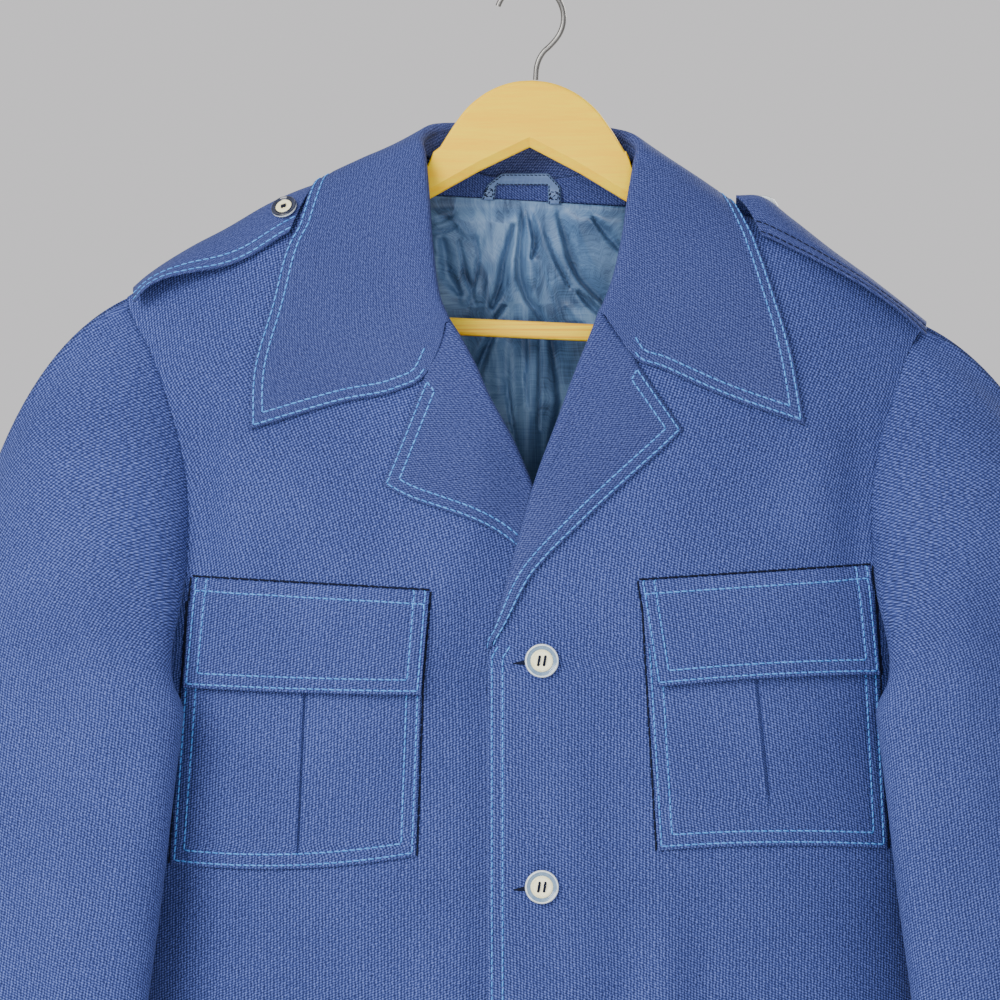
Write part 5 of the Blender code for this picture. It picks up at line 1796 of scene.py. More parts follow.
@dataclass(frozen=True)
class Pockets:
    """Patch chest pockets with one pleat each, and the flaps that lie over them."""

    body: Body
    wall: float = 1.5
    flap_wall: float = 1.6
    puff: float = 2.5
    flare: float = 3.0
    rows: tuple[float, ...] = (3.0, 9.6)
    flap_top_row: float = 9.0
    shade_line_out: float = 0.8  # how far outside an edge the dark thread line of painted shade lies on the front
    # x and z of the corners: top inner, top outer, low inner, low outer, and the bottom's bend
    pockets: dict[Side, Table] = by_side(
        left=(
            (66.5, -364), (203.5, -356), (75, -513), (211, -509), (120, -507.5),
        ),
        right=(
            (-62, -370), (-201.5, -363), (-67, -513), (-212, -515), (-150, -521),
        ),
    )
    flaps: dict[Side, Table] = by_side(
        left=(
            (64, -351), (201, -342), (74, -417), (207, -406.5), (106, -410.5),
        ),
        right=(
            (-59, -357), (-199, -349), (-64, -418), (-205, -414), (-130, -417),
        ),
    )
    # the pleat's share of the width at the top and at the bottom
    pleat: dict[Side, tuple[float, float]] = by_side((0.45, 0.505), (0.49, 0.483))
    pleat_end: dict[Side, float] = by_side(0.82, 0.94)
    pleat_deep: float = 2.4
    pleat_half: float = 0.7  # half the pleat line's width
    # rise of the pleat's folded side and sink of its other side, and how far each reaches
    pleat_over: tuple[float, float] = (1.0, 11.0)
    pleat_under: tuple[float, float] = (0.6, 6.0)
    across: float = 141.0  # a pocket's width
    down: float = 150.0  # and its height
    flap_size: tuple[float, float] = (139.0, 64.0)

    def place(self, corners: Table, u: Any, v: float) -> Array:
        """Places on a patch: u from the inner edge out, v from the top down.

        Args:
            corners: the patch's corners.
            u: the places across.
            v: the place down.

        Returns:
            x and z of each place.
        """
        top_in, top_out, low_in, low_out, low_mid = (np.array(c, float) for c in corners)
        u = np.asarray(u, float)[:, None]
        top = top_in + (top_out - top_in) * u
        low = low_in + (low_out - low_in) * u
        mid = (low_mid[0] - low_in[0]) / (low_out[0] - low_in[0])
        dip = low_mid[1] - (low_in[1] + (low_out[1] - low_in[1]) * mid)
        bow = 1 - (np.abs(u[:, 0] - mid) / max(mid, 1 - mid)) ** 2
        low[:, 1] += dip * bow
        return top + (low - top) * v

    def lift(self, side: Side, u: Any, v: float, pleated: bool) -> Array:
        """Height of a pocket's outer surface over the front.

        Args:
            side: the wearer's side.
            u: the places across.
            v: the place down.
            pleated: whether the pleat is drawn.

        Returns:
            The height at each place.
        """
        u = np.asarray(u, float)
        puff = self.puff * np.sin(math.pi * u) * math.sin(math.pi * min(1, 0.15 + 0.85 * v))
        at = self.pleat[side][0] + (self.pleat[side][1] - self.pleat[side][0]) * v
        s = (u - at) * self.across * side
        fade = float(step(self.pleat_end[side] + 0.04, self.pleat_end[side] - 0.04, v)) if pleated else 0.0
        line = self.pleat_deep * np.exp(-((s / self.pleat_half) ** 2))
        (rise, before), (sink, behind) = self.pleat_over, self.pleat_under
        over = rise * np.exp(np.minimum(s, 0) / before) * (s < 0)
        over = over - sink * np.exp(-np.maximum(s, 0) / behind) * (s >= 0)
        return self.body.lie_gap + self.wall + puff + (over - line) * fade

    def pocket(self, side: Side) -> Panel:
        """One pocket's grid.

        Args:
            side: the wearer's side.

        Returns:
            The pocket.
        """
        top, low = self.pleat[side]
        middle = (top + low) / 2
        even = banded(self.across, True, True, 4.5, at=[self.across * middle])
        rows = []
        for v in banded(self.down, False, True, 3.5):
            u = even + (top + (low - top) * v - middle) * np.exp(-(((even - middle) / 0.2) ** 2))
            spots = self.place(self.pockets[side], u, v)
            rows.append(self.body.on_front(side, spots[:, 0], spots[:, 1], self.lift(side, u, v, True)))
        panel = Panel(f"pocket_{side.word}_cloth", np.array(rows), self.wall, flip=side == Side.RIGHT)
        panel.press({Edge.FIRST_COLUMN: 1.0, Edge.LAST_COLUMN: 1.0, Edge.LAST_ROW: 1.0}, self.rows)
        return panel

    def flap(self, side: Side) -> Panel:
        """One flap's grid.

        Args:
            side: the wearer's side.

        Returns:
            The flap.
        """
        across, down = self.flap_size
        u = banded(across, True, True, 4.0)
        rows = []
        for v in banded(down, True, True, 2.5):
            spots = self.place(self.flaps[side], u, v)
            risen = float(step(0, 0.14, v))
            over = self.lift(side, u, 0.42 * v, False) + self.flare * v**2
            over += (self.body.lie_gap + self.flap_wall) * risen + (self.flap_wall - self.wall) * (1 - risen)
            rows.append(self.body.on_front(side, spots[:, 0], spots[:, 1], over))
        panel = Panel(f"flap_{side.word}_cloth", np.array(rows), self.flap_wall, flip=side == Side.RIGHT)
        panel.press({Edge.FIRST_COLUMN: 1.0, Edge.LAST_COLUMN: 1.0, Edge.LAST_ROW: 1.0}, self.rows)
        panel.press({Edge.FIRST_ROW: 1.0}, (self.flap_top_row,))
        return panel

    def make(self, side: Side, finishes: Finishes, sewing: Sewing, shade_line: Sewing) -> None:
        """Builds one pocket with its flap, sews both and draws a dark thread line of painted shade along
        their sewn edges.

        Args:
            side: the wearer's side.
            finishes: the jacket's materials.
            sewing: the thread that it is sewn with.
            shade_line: the dark thread drawn as painted shade along the sewn edges.
        """
        pocket, flap = self.pocket(side), self.flap(side)
        pocket.piece(finishes.panel, Slot.KNIT, f"pocket_{side.word}", [f"front_{side.word}"])
        under = [f"front_{side.word}", f"pocket_{side.word}"]
        flap.piece(finishes.panel, Slot.KNIT, f"flap_{side.word}", under)
        for panel in (pocket, flap):
            for distance in self.rows:
                inner = panel.line(Edge.FIRST_COLUMN, distance)
                bottom = panel.line(Edge.LAST_ROW, distance)
                outer = panel.line(Edge.LAST_COLUMN, distance)[::-1]
                sewing.corners(inner, bottom, outer)
        sewing.row(cut(flap.line(Edge.FIRST_ROW, self.flap_top_row), self.rows[0], self.rows[0]))
        # painted shade: a dark navy thread line just outside the flap's top edge and the pocket's and flap's
        # sides stands in for the shade at the raised edges
        shares = np.linspace(0, 1, 40)
        top = self.place(self.flaps[side], shares, 0.0) + np.array([0, self.shade_line_out])
        shade_lines = [top]
        for corners in (self.pockets[side], self.flaps[side]):
            out = self.shade_line_out / (corners[1][0] - corners[0][0]) * side
            for u in (-out, 1 + out):
                shade_lines.append(np.array([self.place(corners, [u], v)[0] for v in shares]))
        for spots in shade_lines:
            points = self.body.on_front(side, spots[:, 0], spots[:, 1], 0.25)
            shade_line.row(looking_ahead(points), 6.0)


@dataclass(frozen=True)
class Straps:
    """The shoulder straps, sewn in at the sleeve head and buttoned by the collar."""

    body: Body
    wall: float = 1.8
    slant: float = 15.0
    rows: tuple[float, ...] = (2.8, 8.4)
    # distance out; reach and drop in front; reach and drop behind; lift
    places: dict[Side, Table] = by_side(
        left=(
            (122, 21, 20, 17, 16, 10), (137, 20, 23, 17, 15, 15), (155, 20, 18, 17, 10, 10),
            (178, 22, 11, 17, 7, 5), (202, 22, 7, 16, 5, 4), (222, 20, 6, 13, 5, 3.6),
            (234.5, 15, 8, 9, 6, 3),
        ),
        right=(
            (127, 24, 20.5, 14, 8, 4.6), (145, 25.5, 23, 15, 8, 4.6),
            (166, 24.5, 25, 16, 8, 4.2), (184, 25, 21, 16, 8, 4), (203, 26, 14, 15, 7, 4.5),
            (219, 26, 8, 13, 6, 5), (229, 23, 7, 11, 6, 4.5), (234.5, 17, 9, 9, 6, 3.4),
        ),
    )
    # distance out, place across and seat of each strap's button
    buttons: dict[Side, tuple[float, float, float]] = by_side((139.0, -0.62, -0.25), (144.5, 0.6, 0.6))

    def point(self, side: Side, out: float, across: float) -> Array:
        """A point on a strap: across runs from -1 behind the shoulder line to 1 in front.

        Args:
            side: the wearer's side.
            out: the distance out from the middle of the jacket.
            across: the place across.

        Returns:
            The point.
        """
        table = self.places[side]
        reach, drop = (1, 2) if across > 0 else (3, 4)
        y = -math.copysign(float(curve(table, reach, out)) * abs(across), across)
        z = float(self.body.shoulder_z(side * out)) + float(curve(table, 5, out))
        return np.array([side * out, y, z - float(curve(table, drop, out)) * across**2])

    def panel(self, side: Side) -> Panel:
        """One strap's grid.

        Args:
            side: the wearer's side.

        Returns:
            The strap.
        """
        first, last = self.places[side][0][0], self.places[side][-1][0]
        rows = []
        for share in banded(112, True, False, 3.0):
            row = []
            for across in banded(44, True, True, 2.5) * 2 - 1:
                start = first + self.slant * max(across, 0) ** 1.5
                row.append(self.point(side, start + (last - start) * share, across))
            rows.append(row)
        panel = Panel(f"strap_{side.word}_cloth", np.array(rows), self.wall, flip=side == Side.LEFT)
        deep = 0.4 if side == Side.RIGHT else 0.9
        panel.press({Edge.FIRST_COLUMN: 1.0, Edge.LAST_COLUMN: 1.0}, self.rows, deep)
        return panel

    def make(self, side: Side, finishes: Finishes, sewing: Sewing) -> None:
        """Builds one strap and sews its long edges.

        Args:
            side: the wearer's side.
            finishes: the jacket's materials.
            sewing: the thread that it is sewn with.
        """
        panel = self.panel(side)
        panel.piece(finishes.fine, Slot.KNIT, f"strap_{side.word}", [f"front_{side.word}"])
        for edge in (Edge.FIRST_COLUMN, Edge.LAST_COLUMN):
            for distance in self.rows:
                sewing.row(panel.line(edge, distance))

    def seat(self, side: Side) -> tuple[Array, Array]:
        """Where a strap's button sits, and which way it faces.

        Args:
            side: the wearer's side.

        Returns:
            The seat, and the direction.
        """
        out, across, seat = self.buttons[side]
        a = self.point(side, out + 2, across) - self.point(side, out - 2, across)
        b = self.point(side, out, across + 0.05) - self.point(side, out, across - 0.05)
        facing = unit(np.cross(a, b))
        facing *= math.copysign(1, facing[2])
        return self.point(side, out, across) + facing * seat, facing


@dataclass(frozen=True)
class NeckInside:
    """What shows inside the neck: the knit facing, the creased satin lining and the hang loop."""

    body: Body
    back: BackPanel
    wall: float = 1.0
    loop_wall: float = 1.2
    lining_top_z: float = -126.3
    lining_tilt: float = -0.057
    lining_sink: float = 2.2
    lining_inset: float = 9.0
    lining_hem_z: float = -893.0
    facing_half: float = 57.0
    facing_sink: float = 0.9
    facing_rise: float = 3.5
    # x and z of the strip's inner edge, then of its outer edge; the corners are folded
    loop_path: Table = (
        (-20.8, -126, -28.6, -126), (-19.7, -118.2, -25.2, -117.3), (-19.1, -117.4, -16.4, -110.6),
        (10.2, -117.4, 11, -110.6), (10.7, -118, 18.3, -118.4), (10.8, -128.5, 18.4, -128.5),
    )
    # x and z of the middle of each foot's box of stitches, and half its size
    loop_feet: Table = ((-24.2, -121.6, 2.2), (14.5, -123.4, 2.2))
    # x and z at both ends, half width and height of each fold
    folds: Table = (
        (-3, -128, -1, -330, 7, 5), (16, -138, 46, -215, 9, 4), (-16, -150, -30, -230, 9, 4.5),
    )
    puff: float = 7.0  # how far the lining billows off the back
    fine: int = 52  # columns on each side of the visible part
    # the same, for the sharp ridges that only the scene draws
    ridges: Table = (
        (-12, -150, -9.5, -192, 3.2, 2.6), (1, -135, 22, -184, 4.5, 3.2),
        (-37, -155, -31, -186, 3, 2.2), (-27, -140, -33, -172, 2.2, 1.6), (33, -134, 46, -150, 2, 1.6),
        (-50, -131, -34, -150, 2.2, 1.8), (-58, -152, -44, -166, 1.6, 1.6), (28, -140, 40, -168, 1.6, 1.8),
        (-24, -170, -27, -196, 1.4, 1.4), (4, -195, -4, -290, 7, 2.6), (-12, -205, -8, -300, 1.6, 1.4),
        (4, -208, 3, -290, 1.3, 1.1), (-20, -196, -18, -250, 3.5, 2.2), (20, -186, 32, -200, 1.8, 1.4),
        (-44, -168, -38, -190, 2, 1.6), (8, -160, 20, -200, 1.6, 1.2),
    )
    # share of the height that each valley takes away, half width on its left and on its right, and the
    # x and z of its path from the top down
    valleys: tuple = (
        (0.96, 1.4, 4, ((-3, -126), (-5.1, -139.5), (-5.9, -151.5), (-6.7, -161), (-5.9, -173),
                        (-1.7, -185), (2.5, -190), (7.3, -198))),
        (0.8, 1.2, 2.6, ((-2, -127), (0.5, -138), (3, -150), (1, -160))),
        (0.92, 1.6, 3.2, ((-10, -141), (-13, -154), (-16, -163.5), (-17.3, -173), (-19.7, -181.6),
                          (-22.7, -189))),
        (0.98, 1.8, 12, ((16.5, -134), (20.5, -148), (24, -160), (30, -172), (37.4, -180.4), (46, -189))),
        (0.8, 2, 3.2, ((38, -137), (48, -149), (56, -158))),
        (0.75, 1.4, 1.2, ((-62, -140), (-53, -138), (-44, -133.5))),
        (0.75, 1.2, 1, ((-62, -146), (-53, -144.5), (-43, -141.5))),
        (0.8, 3.4, 4, ((-52, -150), (-50, -160), (-49, -171), (-42, -181))),
        (0.7, 1.2, 1, ((-21, -197), (-16.5, -191.5), (-14, -188))),
        (0.7, 1.6, 2.4, ((29, -181), (35, -187), (42, -194))),
        (0.9, 3.4, 2.2, ((-21, -206), (-24, -211), (-26.5, -217), (-31, -230), (-30, -250))),
        (0.96, 2, 12, ((11.5, -206), (13.5, -218), (16.5, -230), (18, -245), (14, -262), (10, -280))),
        (0.7, 1, 0.9, ((-14, -232), (-12, -248), (-8, -272))),
        (0.6, 0.8, 0.8, ((-2.6, -208), (-2.4, -226), (-1, -250))),
        (0.6, 0.8, 0.8, ((6, -200), (6.5, -222), (5, -262))),
        (0.55, 0.8, 0.8, ((-33, -146), (-30, -158), (-33, -176), (-36, -190))),
        (0.55, 1, 0.8, ((10, -146), (15, -160), (24, -178))),
        (0.55, 1, 1, ((-42, -150), (-38, -170), (-32, -188))),
    )

    def edge_z(self, x: Any) -> Any:
        """Height of the seam between the facing and the lining."""
        return self.lining_top_z + self.lining_tilt * x

    def top(self, x: Any) -> Any:
        """The lining's upper edge: straight across the neck, then below the shoulder line."""
        below = self.body.shoulder_z(x) - 20
        return np.minimum(self.edge_z(x) - 0.4, np.where(np.abs(x) < self.body.neck_half, 0, below))

    def lining(self) -> Panel:
        """The lining's grid with its fan of creases.

        Returns:
            The lining.
        """
        sink = self.body.wall + self.lining_sink + self.wall
        down = np.concatenate([np.linspace(0, 0.6, 130), np.linspace(0.6, 1, 24)[1:]])
        half = np.concatenate([np.linspace(0, 0.28, self.fine), np.linspace(0.28, 1, 18)[1:]])
        grid = self.back.grid(self.top, self.lining_hem_z, down, half, self.lining_inset, sink)
        grid[..., 1] -= self.fold_height(grid[..., 0], grid[..., 2])
        return Panel("lining_back_cloth", grid, self.wall)

    def fold_height(self, x: Array, z: Array) -> Array:
        """How far the lining stands off the back: a billow with its ridges, cut by its valleys.

        Args:
            x: the places' x.
            z: their height.

        Returns:
            The height at each place.
        """
        height = self.puff * step(-128, -140, z) * step(-370, -300, z) * step(66, 54, np.abs(x))
        for x0, z0, x1, z1, half, out in self.folds + self.ridges:
            along, aside = beside(x, z, (x0, z0), (x1, z1))
            fade = step(0, 0.2, along) * step(1, 0.8, along)
            height = height + out * np.exp(-((aside / half) ** 2)) * fade
        for share, left, right, path in self.valleys:
            height = height * (1 - share * self.valley(x, z, left, right, np.array(path, float)))
        return height

    def valley(self, x: Array, z: Array, left: float, right: float, path: Array) -> Array:
        """How deep in a valley each place is, from 0 to 1: it tapers at the ends of its path.

        Args:
            x: the places' x.
            z: their height.
            left: half the valley's width on its left.
            right: half its width on its right.
            path: x and z of its path's points.

        Returns:
            The share of its full depth.
        """
        run = lengths(path)
        best, aside, along = np.full(x.shape, 1e9), np.zeros(x.shape), np.zeros(x.shape)
        for start, end, before in zip(path[:-1], path[1:], run[:-1]):
            step_by = end - start
            length = np.linalg.norm(step_by)
            t = np.clip(((x - start[0]) * step_by[0] + (z - start[1]) * step_by[1]) / length**2, 0, 1)
            dx, dz = x - start[0] - t * step_by[0], z - start[1] - t * step_by[1]
            distance = np.hypot(dx, dz)
            nearer = distance < best
            turned = dz * step_by[0] - dx * step_by[1]
            best = np.where(nearer, distance, best)
            aside = np.where(nearer, np.sign(turned) * distance, aside)
            along = np.where(nearer, (before + t * length) / run[-1], along)
        taper = 0.45 + 0.55 * np.sin(math.pi * np.clip(along, 0.02, 0.98))
        return np.exp(-((aside / (np.where(aside > 0, right, left) * taper)) ** 2))

    def facing(self) -> Panel:
        """The back-neck facing's grid.

        Returns:
            The facing.
        """
        x = np.linspace(-self.facing_half, self.facing_half, 60)
        top = self.body.back_top(x) + self.facing_rise * step(self.facing_half, 40, np.abs(x))
        fall = self.edge_z(x) - top
        sink = self.body.wall + self.facing_sink + self.wall
        shares = np.linspace(0, 1, 14)
        rows = [self.body.on_body(x, top + fall * share, Face.BACK, -sink) for share in shares]
        return Panel("neck_facing_cloth", np.array(rows), self.wall)

    def loop(self) -> Panel:
        """The hang loop's grid: a flat strip that stands up from the seam.

        Returns:
            The loop.
        """
        path = np.array(self.loop_path, float)
        run = lengths(path[:, 2:])
        at = np.linspace(0, run[-1], 90)
        path = np.stack([np.interp(at, run, path[:, k]) for k in range(4)], 1)
        path[1:-1] = (path[:-2] + path[2:] + 2 * path[1:-1]) / 4
        rows = []
        for spot in path:
            spots = spot[:2] + (spot[2:] - spot[:2]) * np.linspace(0, 1, 12)[:, None]
            rows.append(self.on_loop(spots[:, 0], spots[:, 1]))
        return Panel("hang_loop_cloth", np.array(rows), self.loop_wall)

    def on_loop(self, x: Array, z: Array) -> Array:
        """Points on the hang loop's visible face.

        Args:
            x: the places' x.
            z: their height.

        Returns:
            The points.
        """
        sink = self.facing_sink + (self.lining_sink - self.facing_sink) * step(-119, -124, z)
        sink = sink + self.body.wall + self.wall + self.body.lie_gap + self.loop_wall
        return self.body.on_body(x, z, Face.BACK, -sink)

    def make(self, finishes: Finishes, sewing: Sewing) -> None:
        """Builds the three pieces and sews the loop's ends.

        Args:
            finishes: the jacket's materials.
            sewing: the thread that it is sewn with.
        """
        self.facing().piece(finishes.fine, Slot.KNIT, "neck_facing", ["back"])
        self.lining().piece(finishes.lining, Slot.SATIN, "lining_back", ["neck_facing"])
        loop = self.loop()
        loop.press({Edge.FIRST_COLUMN: 1.0, Edge.LAST_COLUMN: 1.0}, (1.2,), 0.2)
        loop.piece(finishes.loop, Slot.SATIN, "hang_loop", ["neck_facing", "lining_back"])
        for edge in (Edge.FIRST_COLUMN, Edge.LAST_COLUMN):
            sewing.row(loop.line(edge, 1.1), 2.4)
        for x, z, half in self.loop_feet:
            box = np.array([(-1, -1), (-1, 1), (1, 1), (1, -1), (-1, -1), (1, 1)]) * half + (x, z)
            for start, end in zip(box[:-1], box[1:]):
                spots = start + (end - start) * np.linspace(0, 1, 6)[:, None]
                points = self.on_loop(spots[:, 0], spots[:, 1])
                sewing.row(looking_ahead(points), 2.2)


@dataclass(frozen=True)
class Turned:
    """A round turned button with a raised rim, a sunk centre and four holes."""

    radius: float = 10.0
    hole_gap: float = 3.4
    hole: float = 0.85
    parts_from: tuple[int, ...] = (3, 8, 13)  # first ring of the lip, of the sunk rim and of the centre
    sides: int = 72
    hole_reach: float = 0.72  # how far up and down the holes lie, as a share of the gap
    hole_lean: float = -0.12
    hole_top: float = 2.34  # height of the holes' mouths
    strand: float = 0.36  # how far each strand lies from the middle of its bar
    strand_radius: float = 0.42
    strand_from: float = 2.3
    strand_rise: float = 0.75

    def profile(self) -> list[tuple[float, float]]:
        """Radius and height of the half section, from the middle of the foot to the middle of the face.

        Returns:
            The section's points.
        """
        shares = [(0, 0), (0.78, 0), (0.93, 0.35), (0.985, 0.9), (1, 1.5), (0.99, 2.1), (0.965, 2.6),
                  (0.93, 2.85), (0.89, 2.8), (0.84, 2.45), (0.76, 2.25), (0.71, 2.2), (0.68, 1.7),
                  (0.665, 1.75), (0.65, 2.2), (0.62, 2.36), (0.45, 2.3), (0.25, 2.24), (0, 2.2)]
        return [(r * self.radius, h) for r, h in shares]

    def make(self, cad: str, seat: Array, facing: Array, parts: Sequence[Any], finishes: Finishes) -> None:
        """Builds the button in its place, with its holes and the thread through them.

        Args:
            cad: the CAD node that it stands for.
            seat: where its foot is, in millimetres.
            facing: which way it faces.
            parts: the materials of the foot, the lip, the sunk rim and the centre.
            finishes: the jacket's materials.
        """
        name = cad + "_turned"
        shape = bmesh.new()
        steps = self.sides
        rings = []
        for r, h in self.profile():
            if r == 0:
                rings.append([shape.verts.new((0, 0, h * MM))])
                continue
            ring = [(r * math.cos(a), r * math.sin(a)) for a in np.arange(steps) * math.tau / steps]
            rings.append([shape.verts.new((x * MM, y * MM, h * MM)) for x, y in ring])
        for j, (low, high) in enumerate(zip(rings[:-1], rings[1:])):
            for i in range(steps):
                k = (i + 1) % steps
                if len(low) == 1:
                    face = shape.faces.new((low[0], high[k], high[i]))
                elif len(high) == 1:
                    face = shape.faces.new((low[i], low[k], high[0]))
                else:
                    face = shape.faces.new((low[i], low[k], high[k], high[i]))
                face.material_index = bisect.bisect_right(self.parts_from, j)
        mesh = bpy.data.meshes.new(name)
        shape.normal_update()
        shape.to_mesh(mesh)
        shape.free()
        mesh.shade_smooth()
        for finish in parts:
            mesh.materials.append(finish)
        ob = self.stand(new_object(name, mesh), seat, facing)
        settle(ob, Slot.PEARL, cad)
        thread = self.stand(new_object(name + "_thread", self.thread_mesh(name, finishes)), seat, facing)
        settle(thread, Slot.KNIT)

    def stand(self, ob: Any, seat: Array, facing: Array) -> Any:
        """Turns a piece made about its own foot to its place on the cloth.

        Args:
            ob: the piece.
            seat: where its foot comes.
            facing: which way it faces.

        Returns:
            The piece.
        """
        turn = Vector((0, 0, 1)).rotation_difference(Vector(facing))
        ob.rotation_mode = "QUATERNION"
        ob.rotation_quaternion = turn
        ob.location = Vector(seat) * MM
        return ob

    def thread_mesh(self, name: str, finishes: Finishes) -> Any:
        """Two worn bars of thread, each between two holes, with the holes' mouths as dark discs: partly the
        navy thread in them, partly painted shade inside the holes.

        Args:
            name: the button's name.
            finishes: the jacket's materials.

        Returns:
            The mesh.
        """
        shape = bmesh.new()
        for side in (-1, 1):
            x = side * self.hole_gap * 0.5
            lean, reach = self.hole_lean * self.hole_gap, self.hole_reach * self.hole_gap
            for end in (-1, 1):
                # painted shade, in part: a flat dark disc of the navy thread at each hole's mouth stands for
                # the thread in the hole and the shade inside it
                bmesh.ops.create_circle(shape, cap_ends=True, segments=20, radius=self.hole * MM)
                shape.verts.ensure_lookup_table()
                for vert in shape.verts[-20:]:
                    vert.co += Vector((x - lean * end, end * reach, self.hole_top)) * MM
            for strand in (-self.strand, self.strand):
                rings = []
                for t in np.linspace(-1, 1, 9):
                    rise = self.strand_from + self.strand_rise * math.sqrt(max(0.0, 1 - t * t))
                    centre = Vector((x + strand - lean * t, t * reach, rise)) * MM
                    ring = []
                    for a in np.arange(8) * math.tau / 8:
                        out = Vector((math.cos(a), 0, math.sin(a))) * self.strand_radius * MM
                        ring.append(shape.verts.new(centre + out))
                    rings.append(ring)
                for low, high in zip(rings[:-1], rings[1:]):
                    for i in range(8):
                        shape.faces.new((low[i], low[(i + 1) % 8], high[(i + 1) % 8], high[i]))
        bmesh.ops.recalc_face_normals(shape, faces=shape.faces)
        mesh = bpy.data.meshes.new(name + "_thread")
        shape.to_mesh(mesh)
        shape.free()
        mesh.shade_smooth()
        mesh.materials.append(finishes.navy_thread)
        return mesh


@dataclass(frozen=True)
class Buttons:
    """The four front buttons and the two on the shoulder straps."""

    body: Body
    straps: Straps
    x: float = 7.0
    top_z: float = -398.0
    pitch: float = 133.0
    number: int = 4
    # the buttonhole: its inner end, length, slope, half height at both ends, stitches
    hole_from: float = -16.5
    hole_length: float = 23.0
    hole_slope: float = 0.1
    hole_tall: tuple[float, float] = (0.5, 1.8)
    hole_widens: float = 3.2  # how fast it widens from its inner end
    hole_stitches: int = 34

    def make(self, finishes: Finishes) -> None:
        """Builds all six.

        Args:
            finishes: the jacket's materials.
        """
        front = Turned()
        pearl = (finishes.rim, finishes.lip, finishes.rim, finishes.disc)
        dark = (finishes.lip, finishes.dark_rim, finishes.dark_rim, finishes.disc)
        for k in range(self.number):
            seat = self.body.on_front(Side.LEFT, self.x, self.top_z - self.pitch * k, self.body.lie_gap)
            cad = f"button_{k + 1}"
            front.make(cad, seat, np.array([0, -1.0, 0]), pearl, finishes)
            self.buttonhole(f"buttonhole_{k + 1}", self.top_z - self.pitch * k, finishes)
        strap = Turned(radius=7.8, hole_gap=1.6, hole=0.4, parts_from=(5, 9, 15))
        for side in Side:
            seat, facing = self.straps.seat(side)
            strap.make(f"strap_button_{side.word}", seat, facing, dark, finishes)

    def buttonhole(self, name: str, z: float, finishes: Finishes) -> None:
        """A worked buttonhole: close stitches round a slit that slants as the button pulls it.

        Args:
            name: the piece's name.
            z: height of its middle.
            finishes: the jacket's materials.
        """
        sewing = Sewing(name, half_width=0.42, height=0.3, gap=0.1)
        for share in np.linspace(0, 1, self.hole_stitches):
            x = self.x + self.hole_from + self.hole_length * share
            slope = self.hole_slope * (x - self.x)
            tall = float(np.interp(share * self.hole_widens, (0, 1), self.hole_tall))
            ends = z + slope + tall * np.array([-1, 1.0])
            points = self.body.on_front(Side.LEFT, np.full(2, x), ends, 0.1)
            sewing.row(looking_ahead(points), 9.0)
        sewing.piece(finishes.navy_thread)


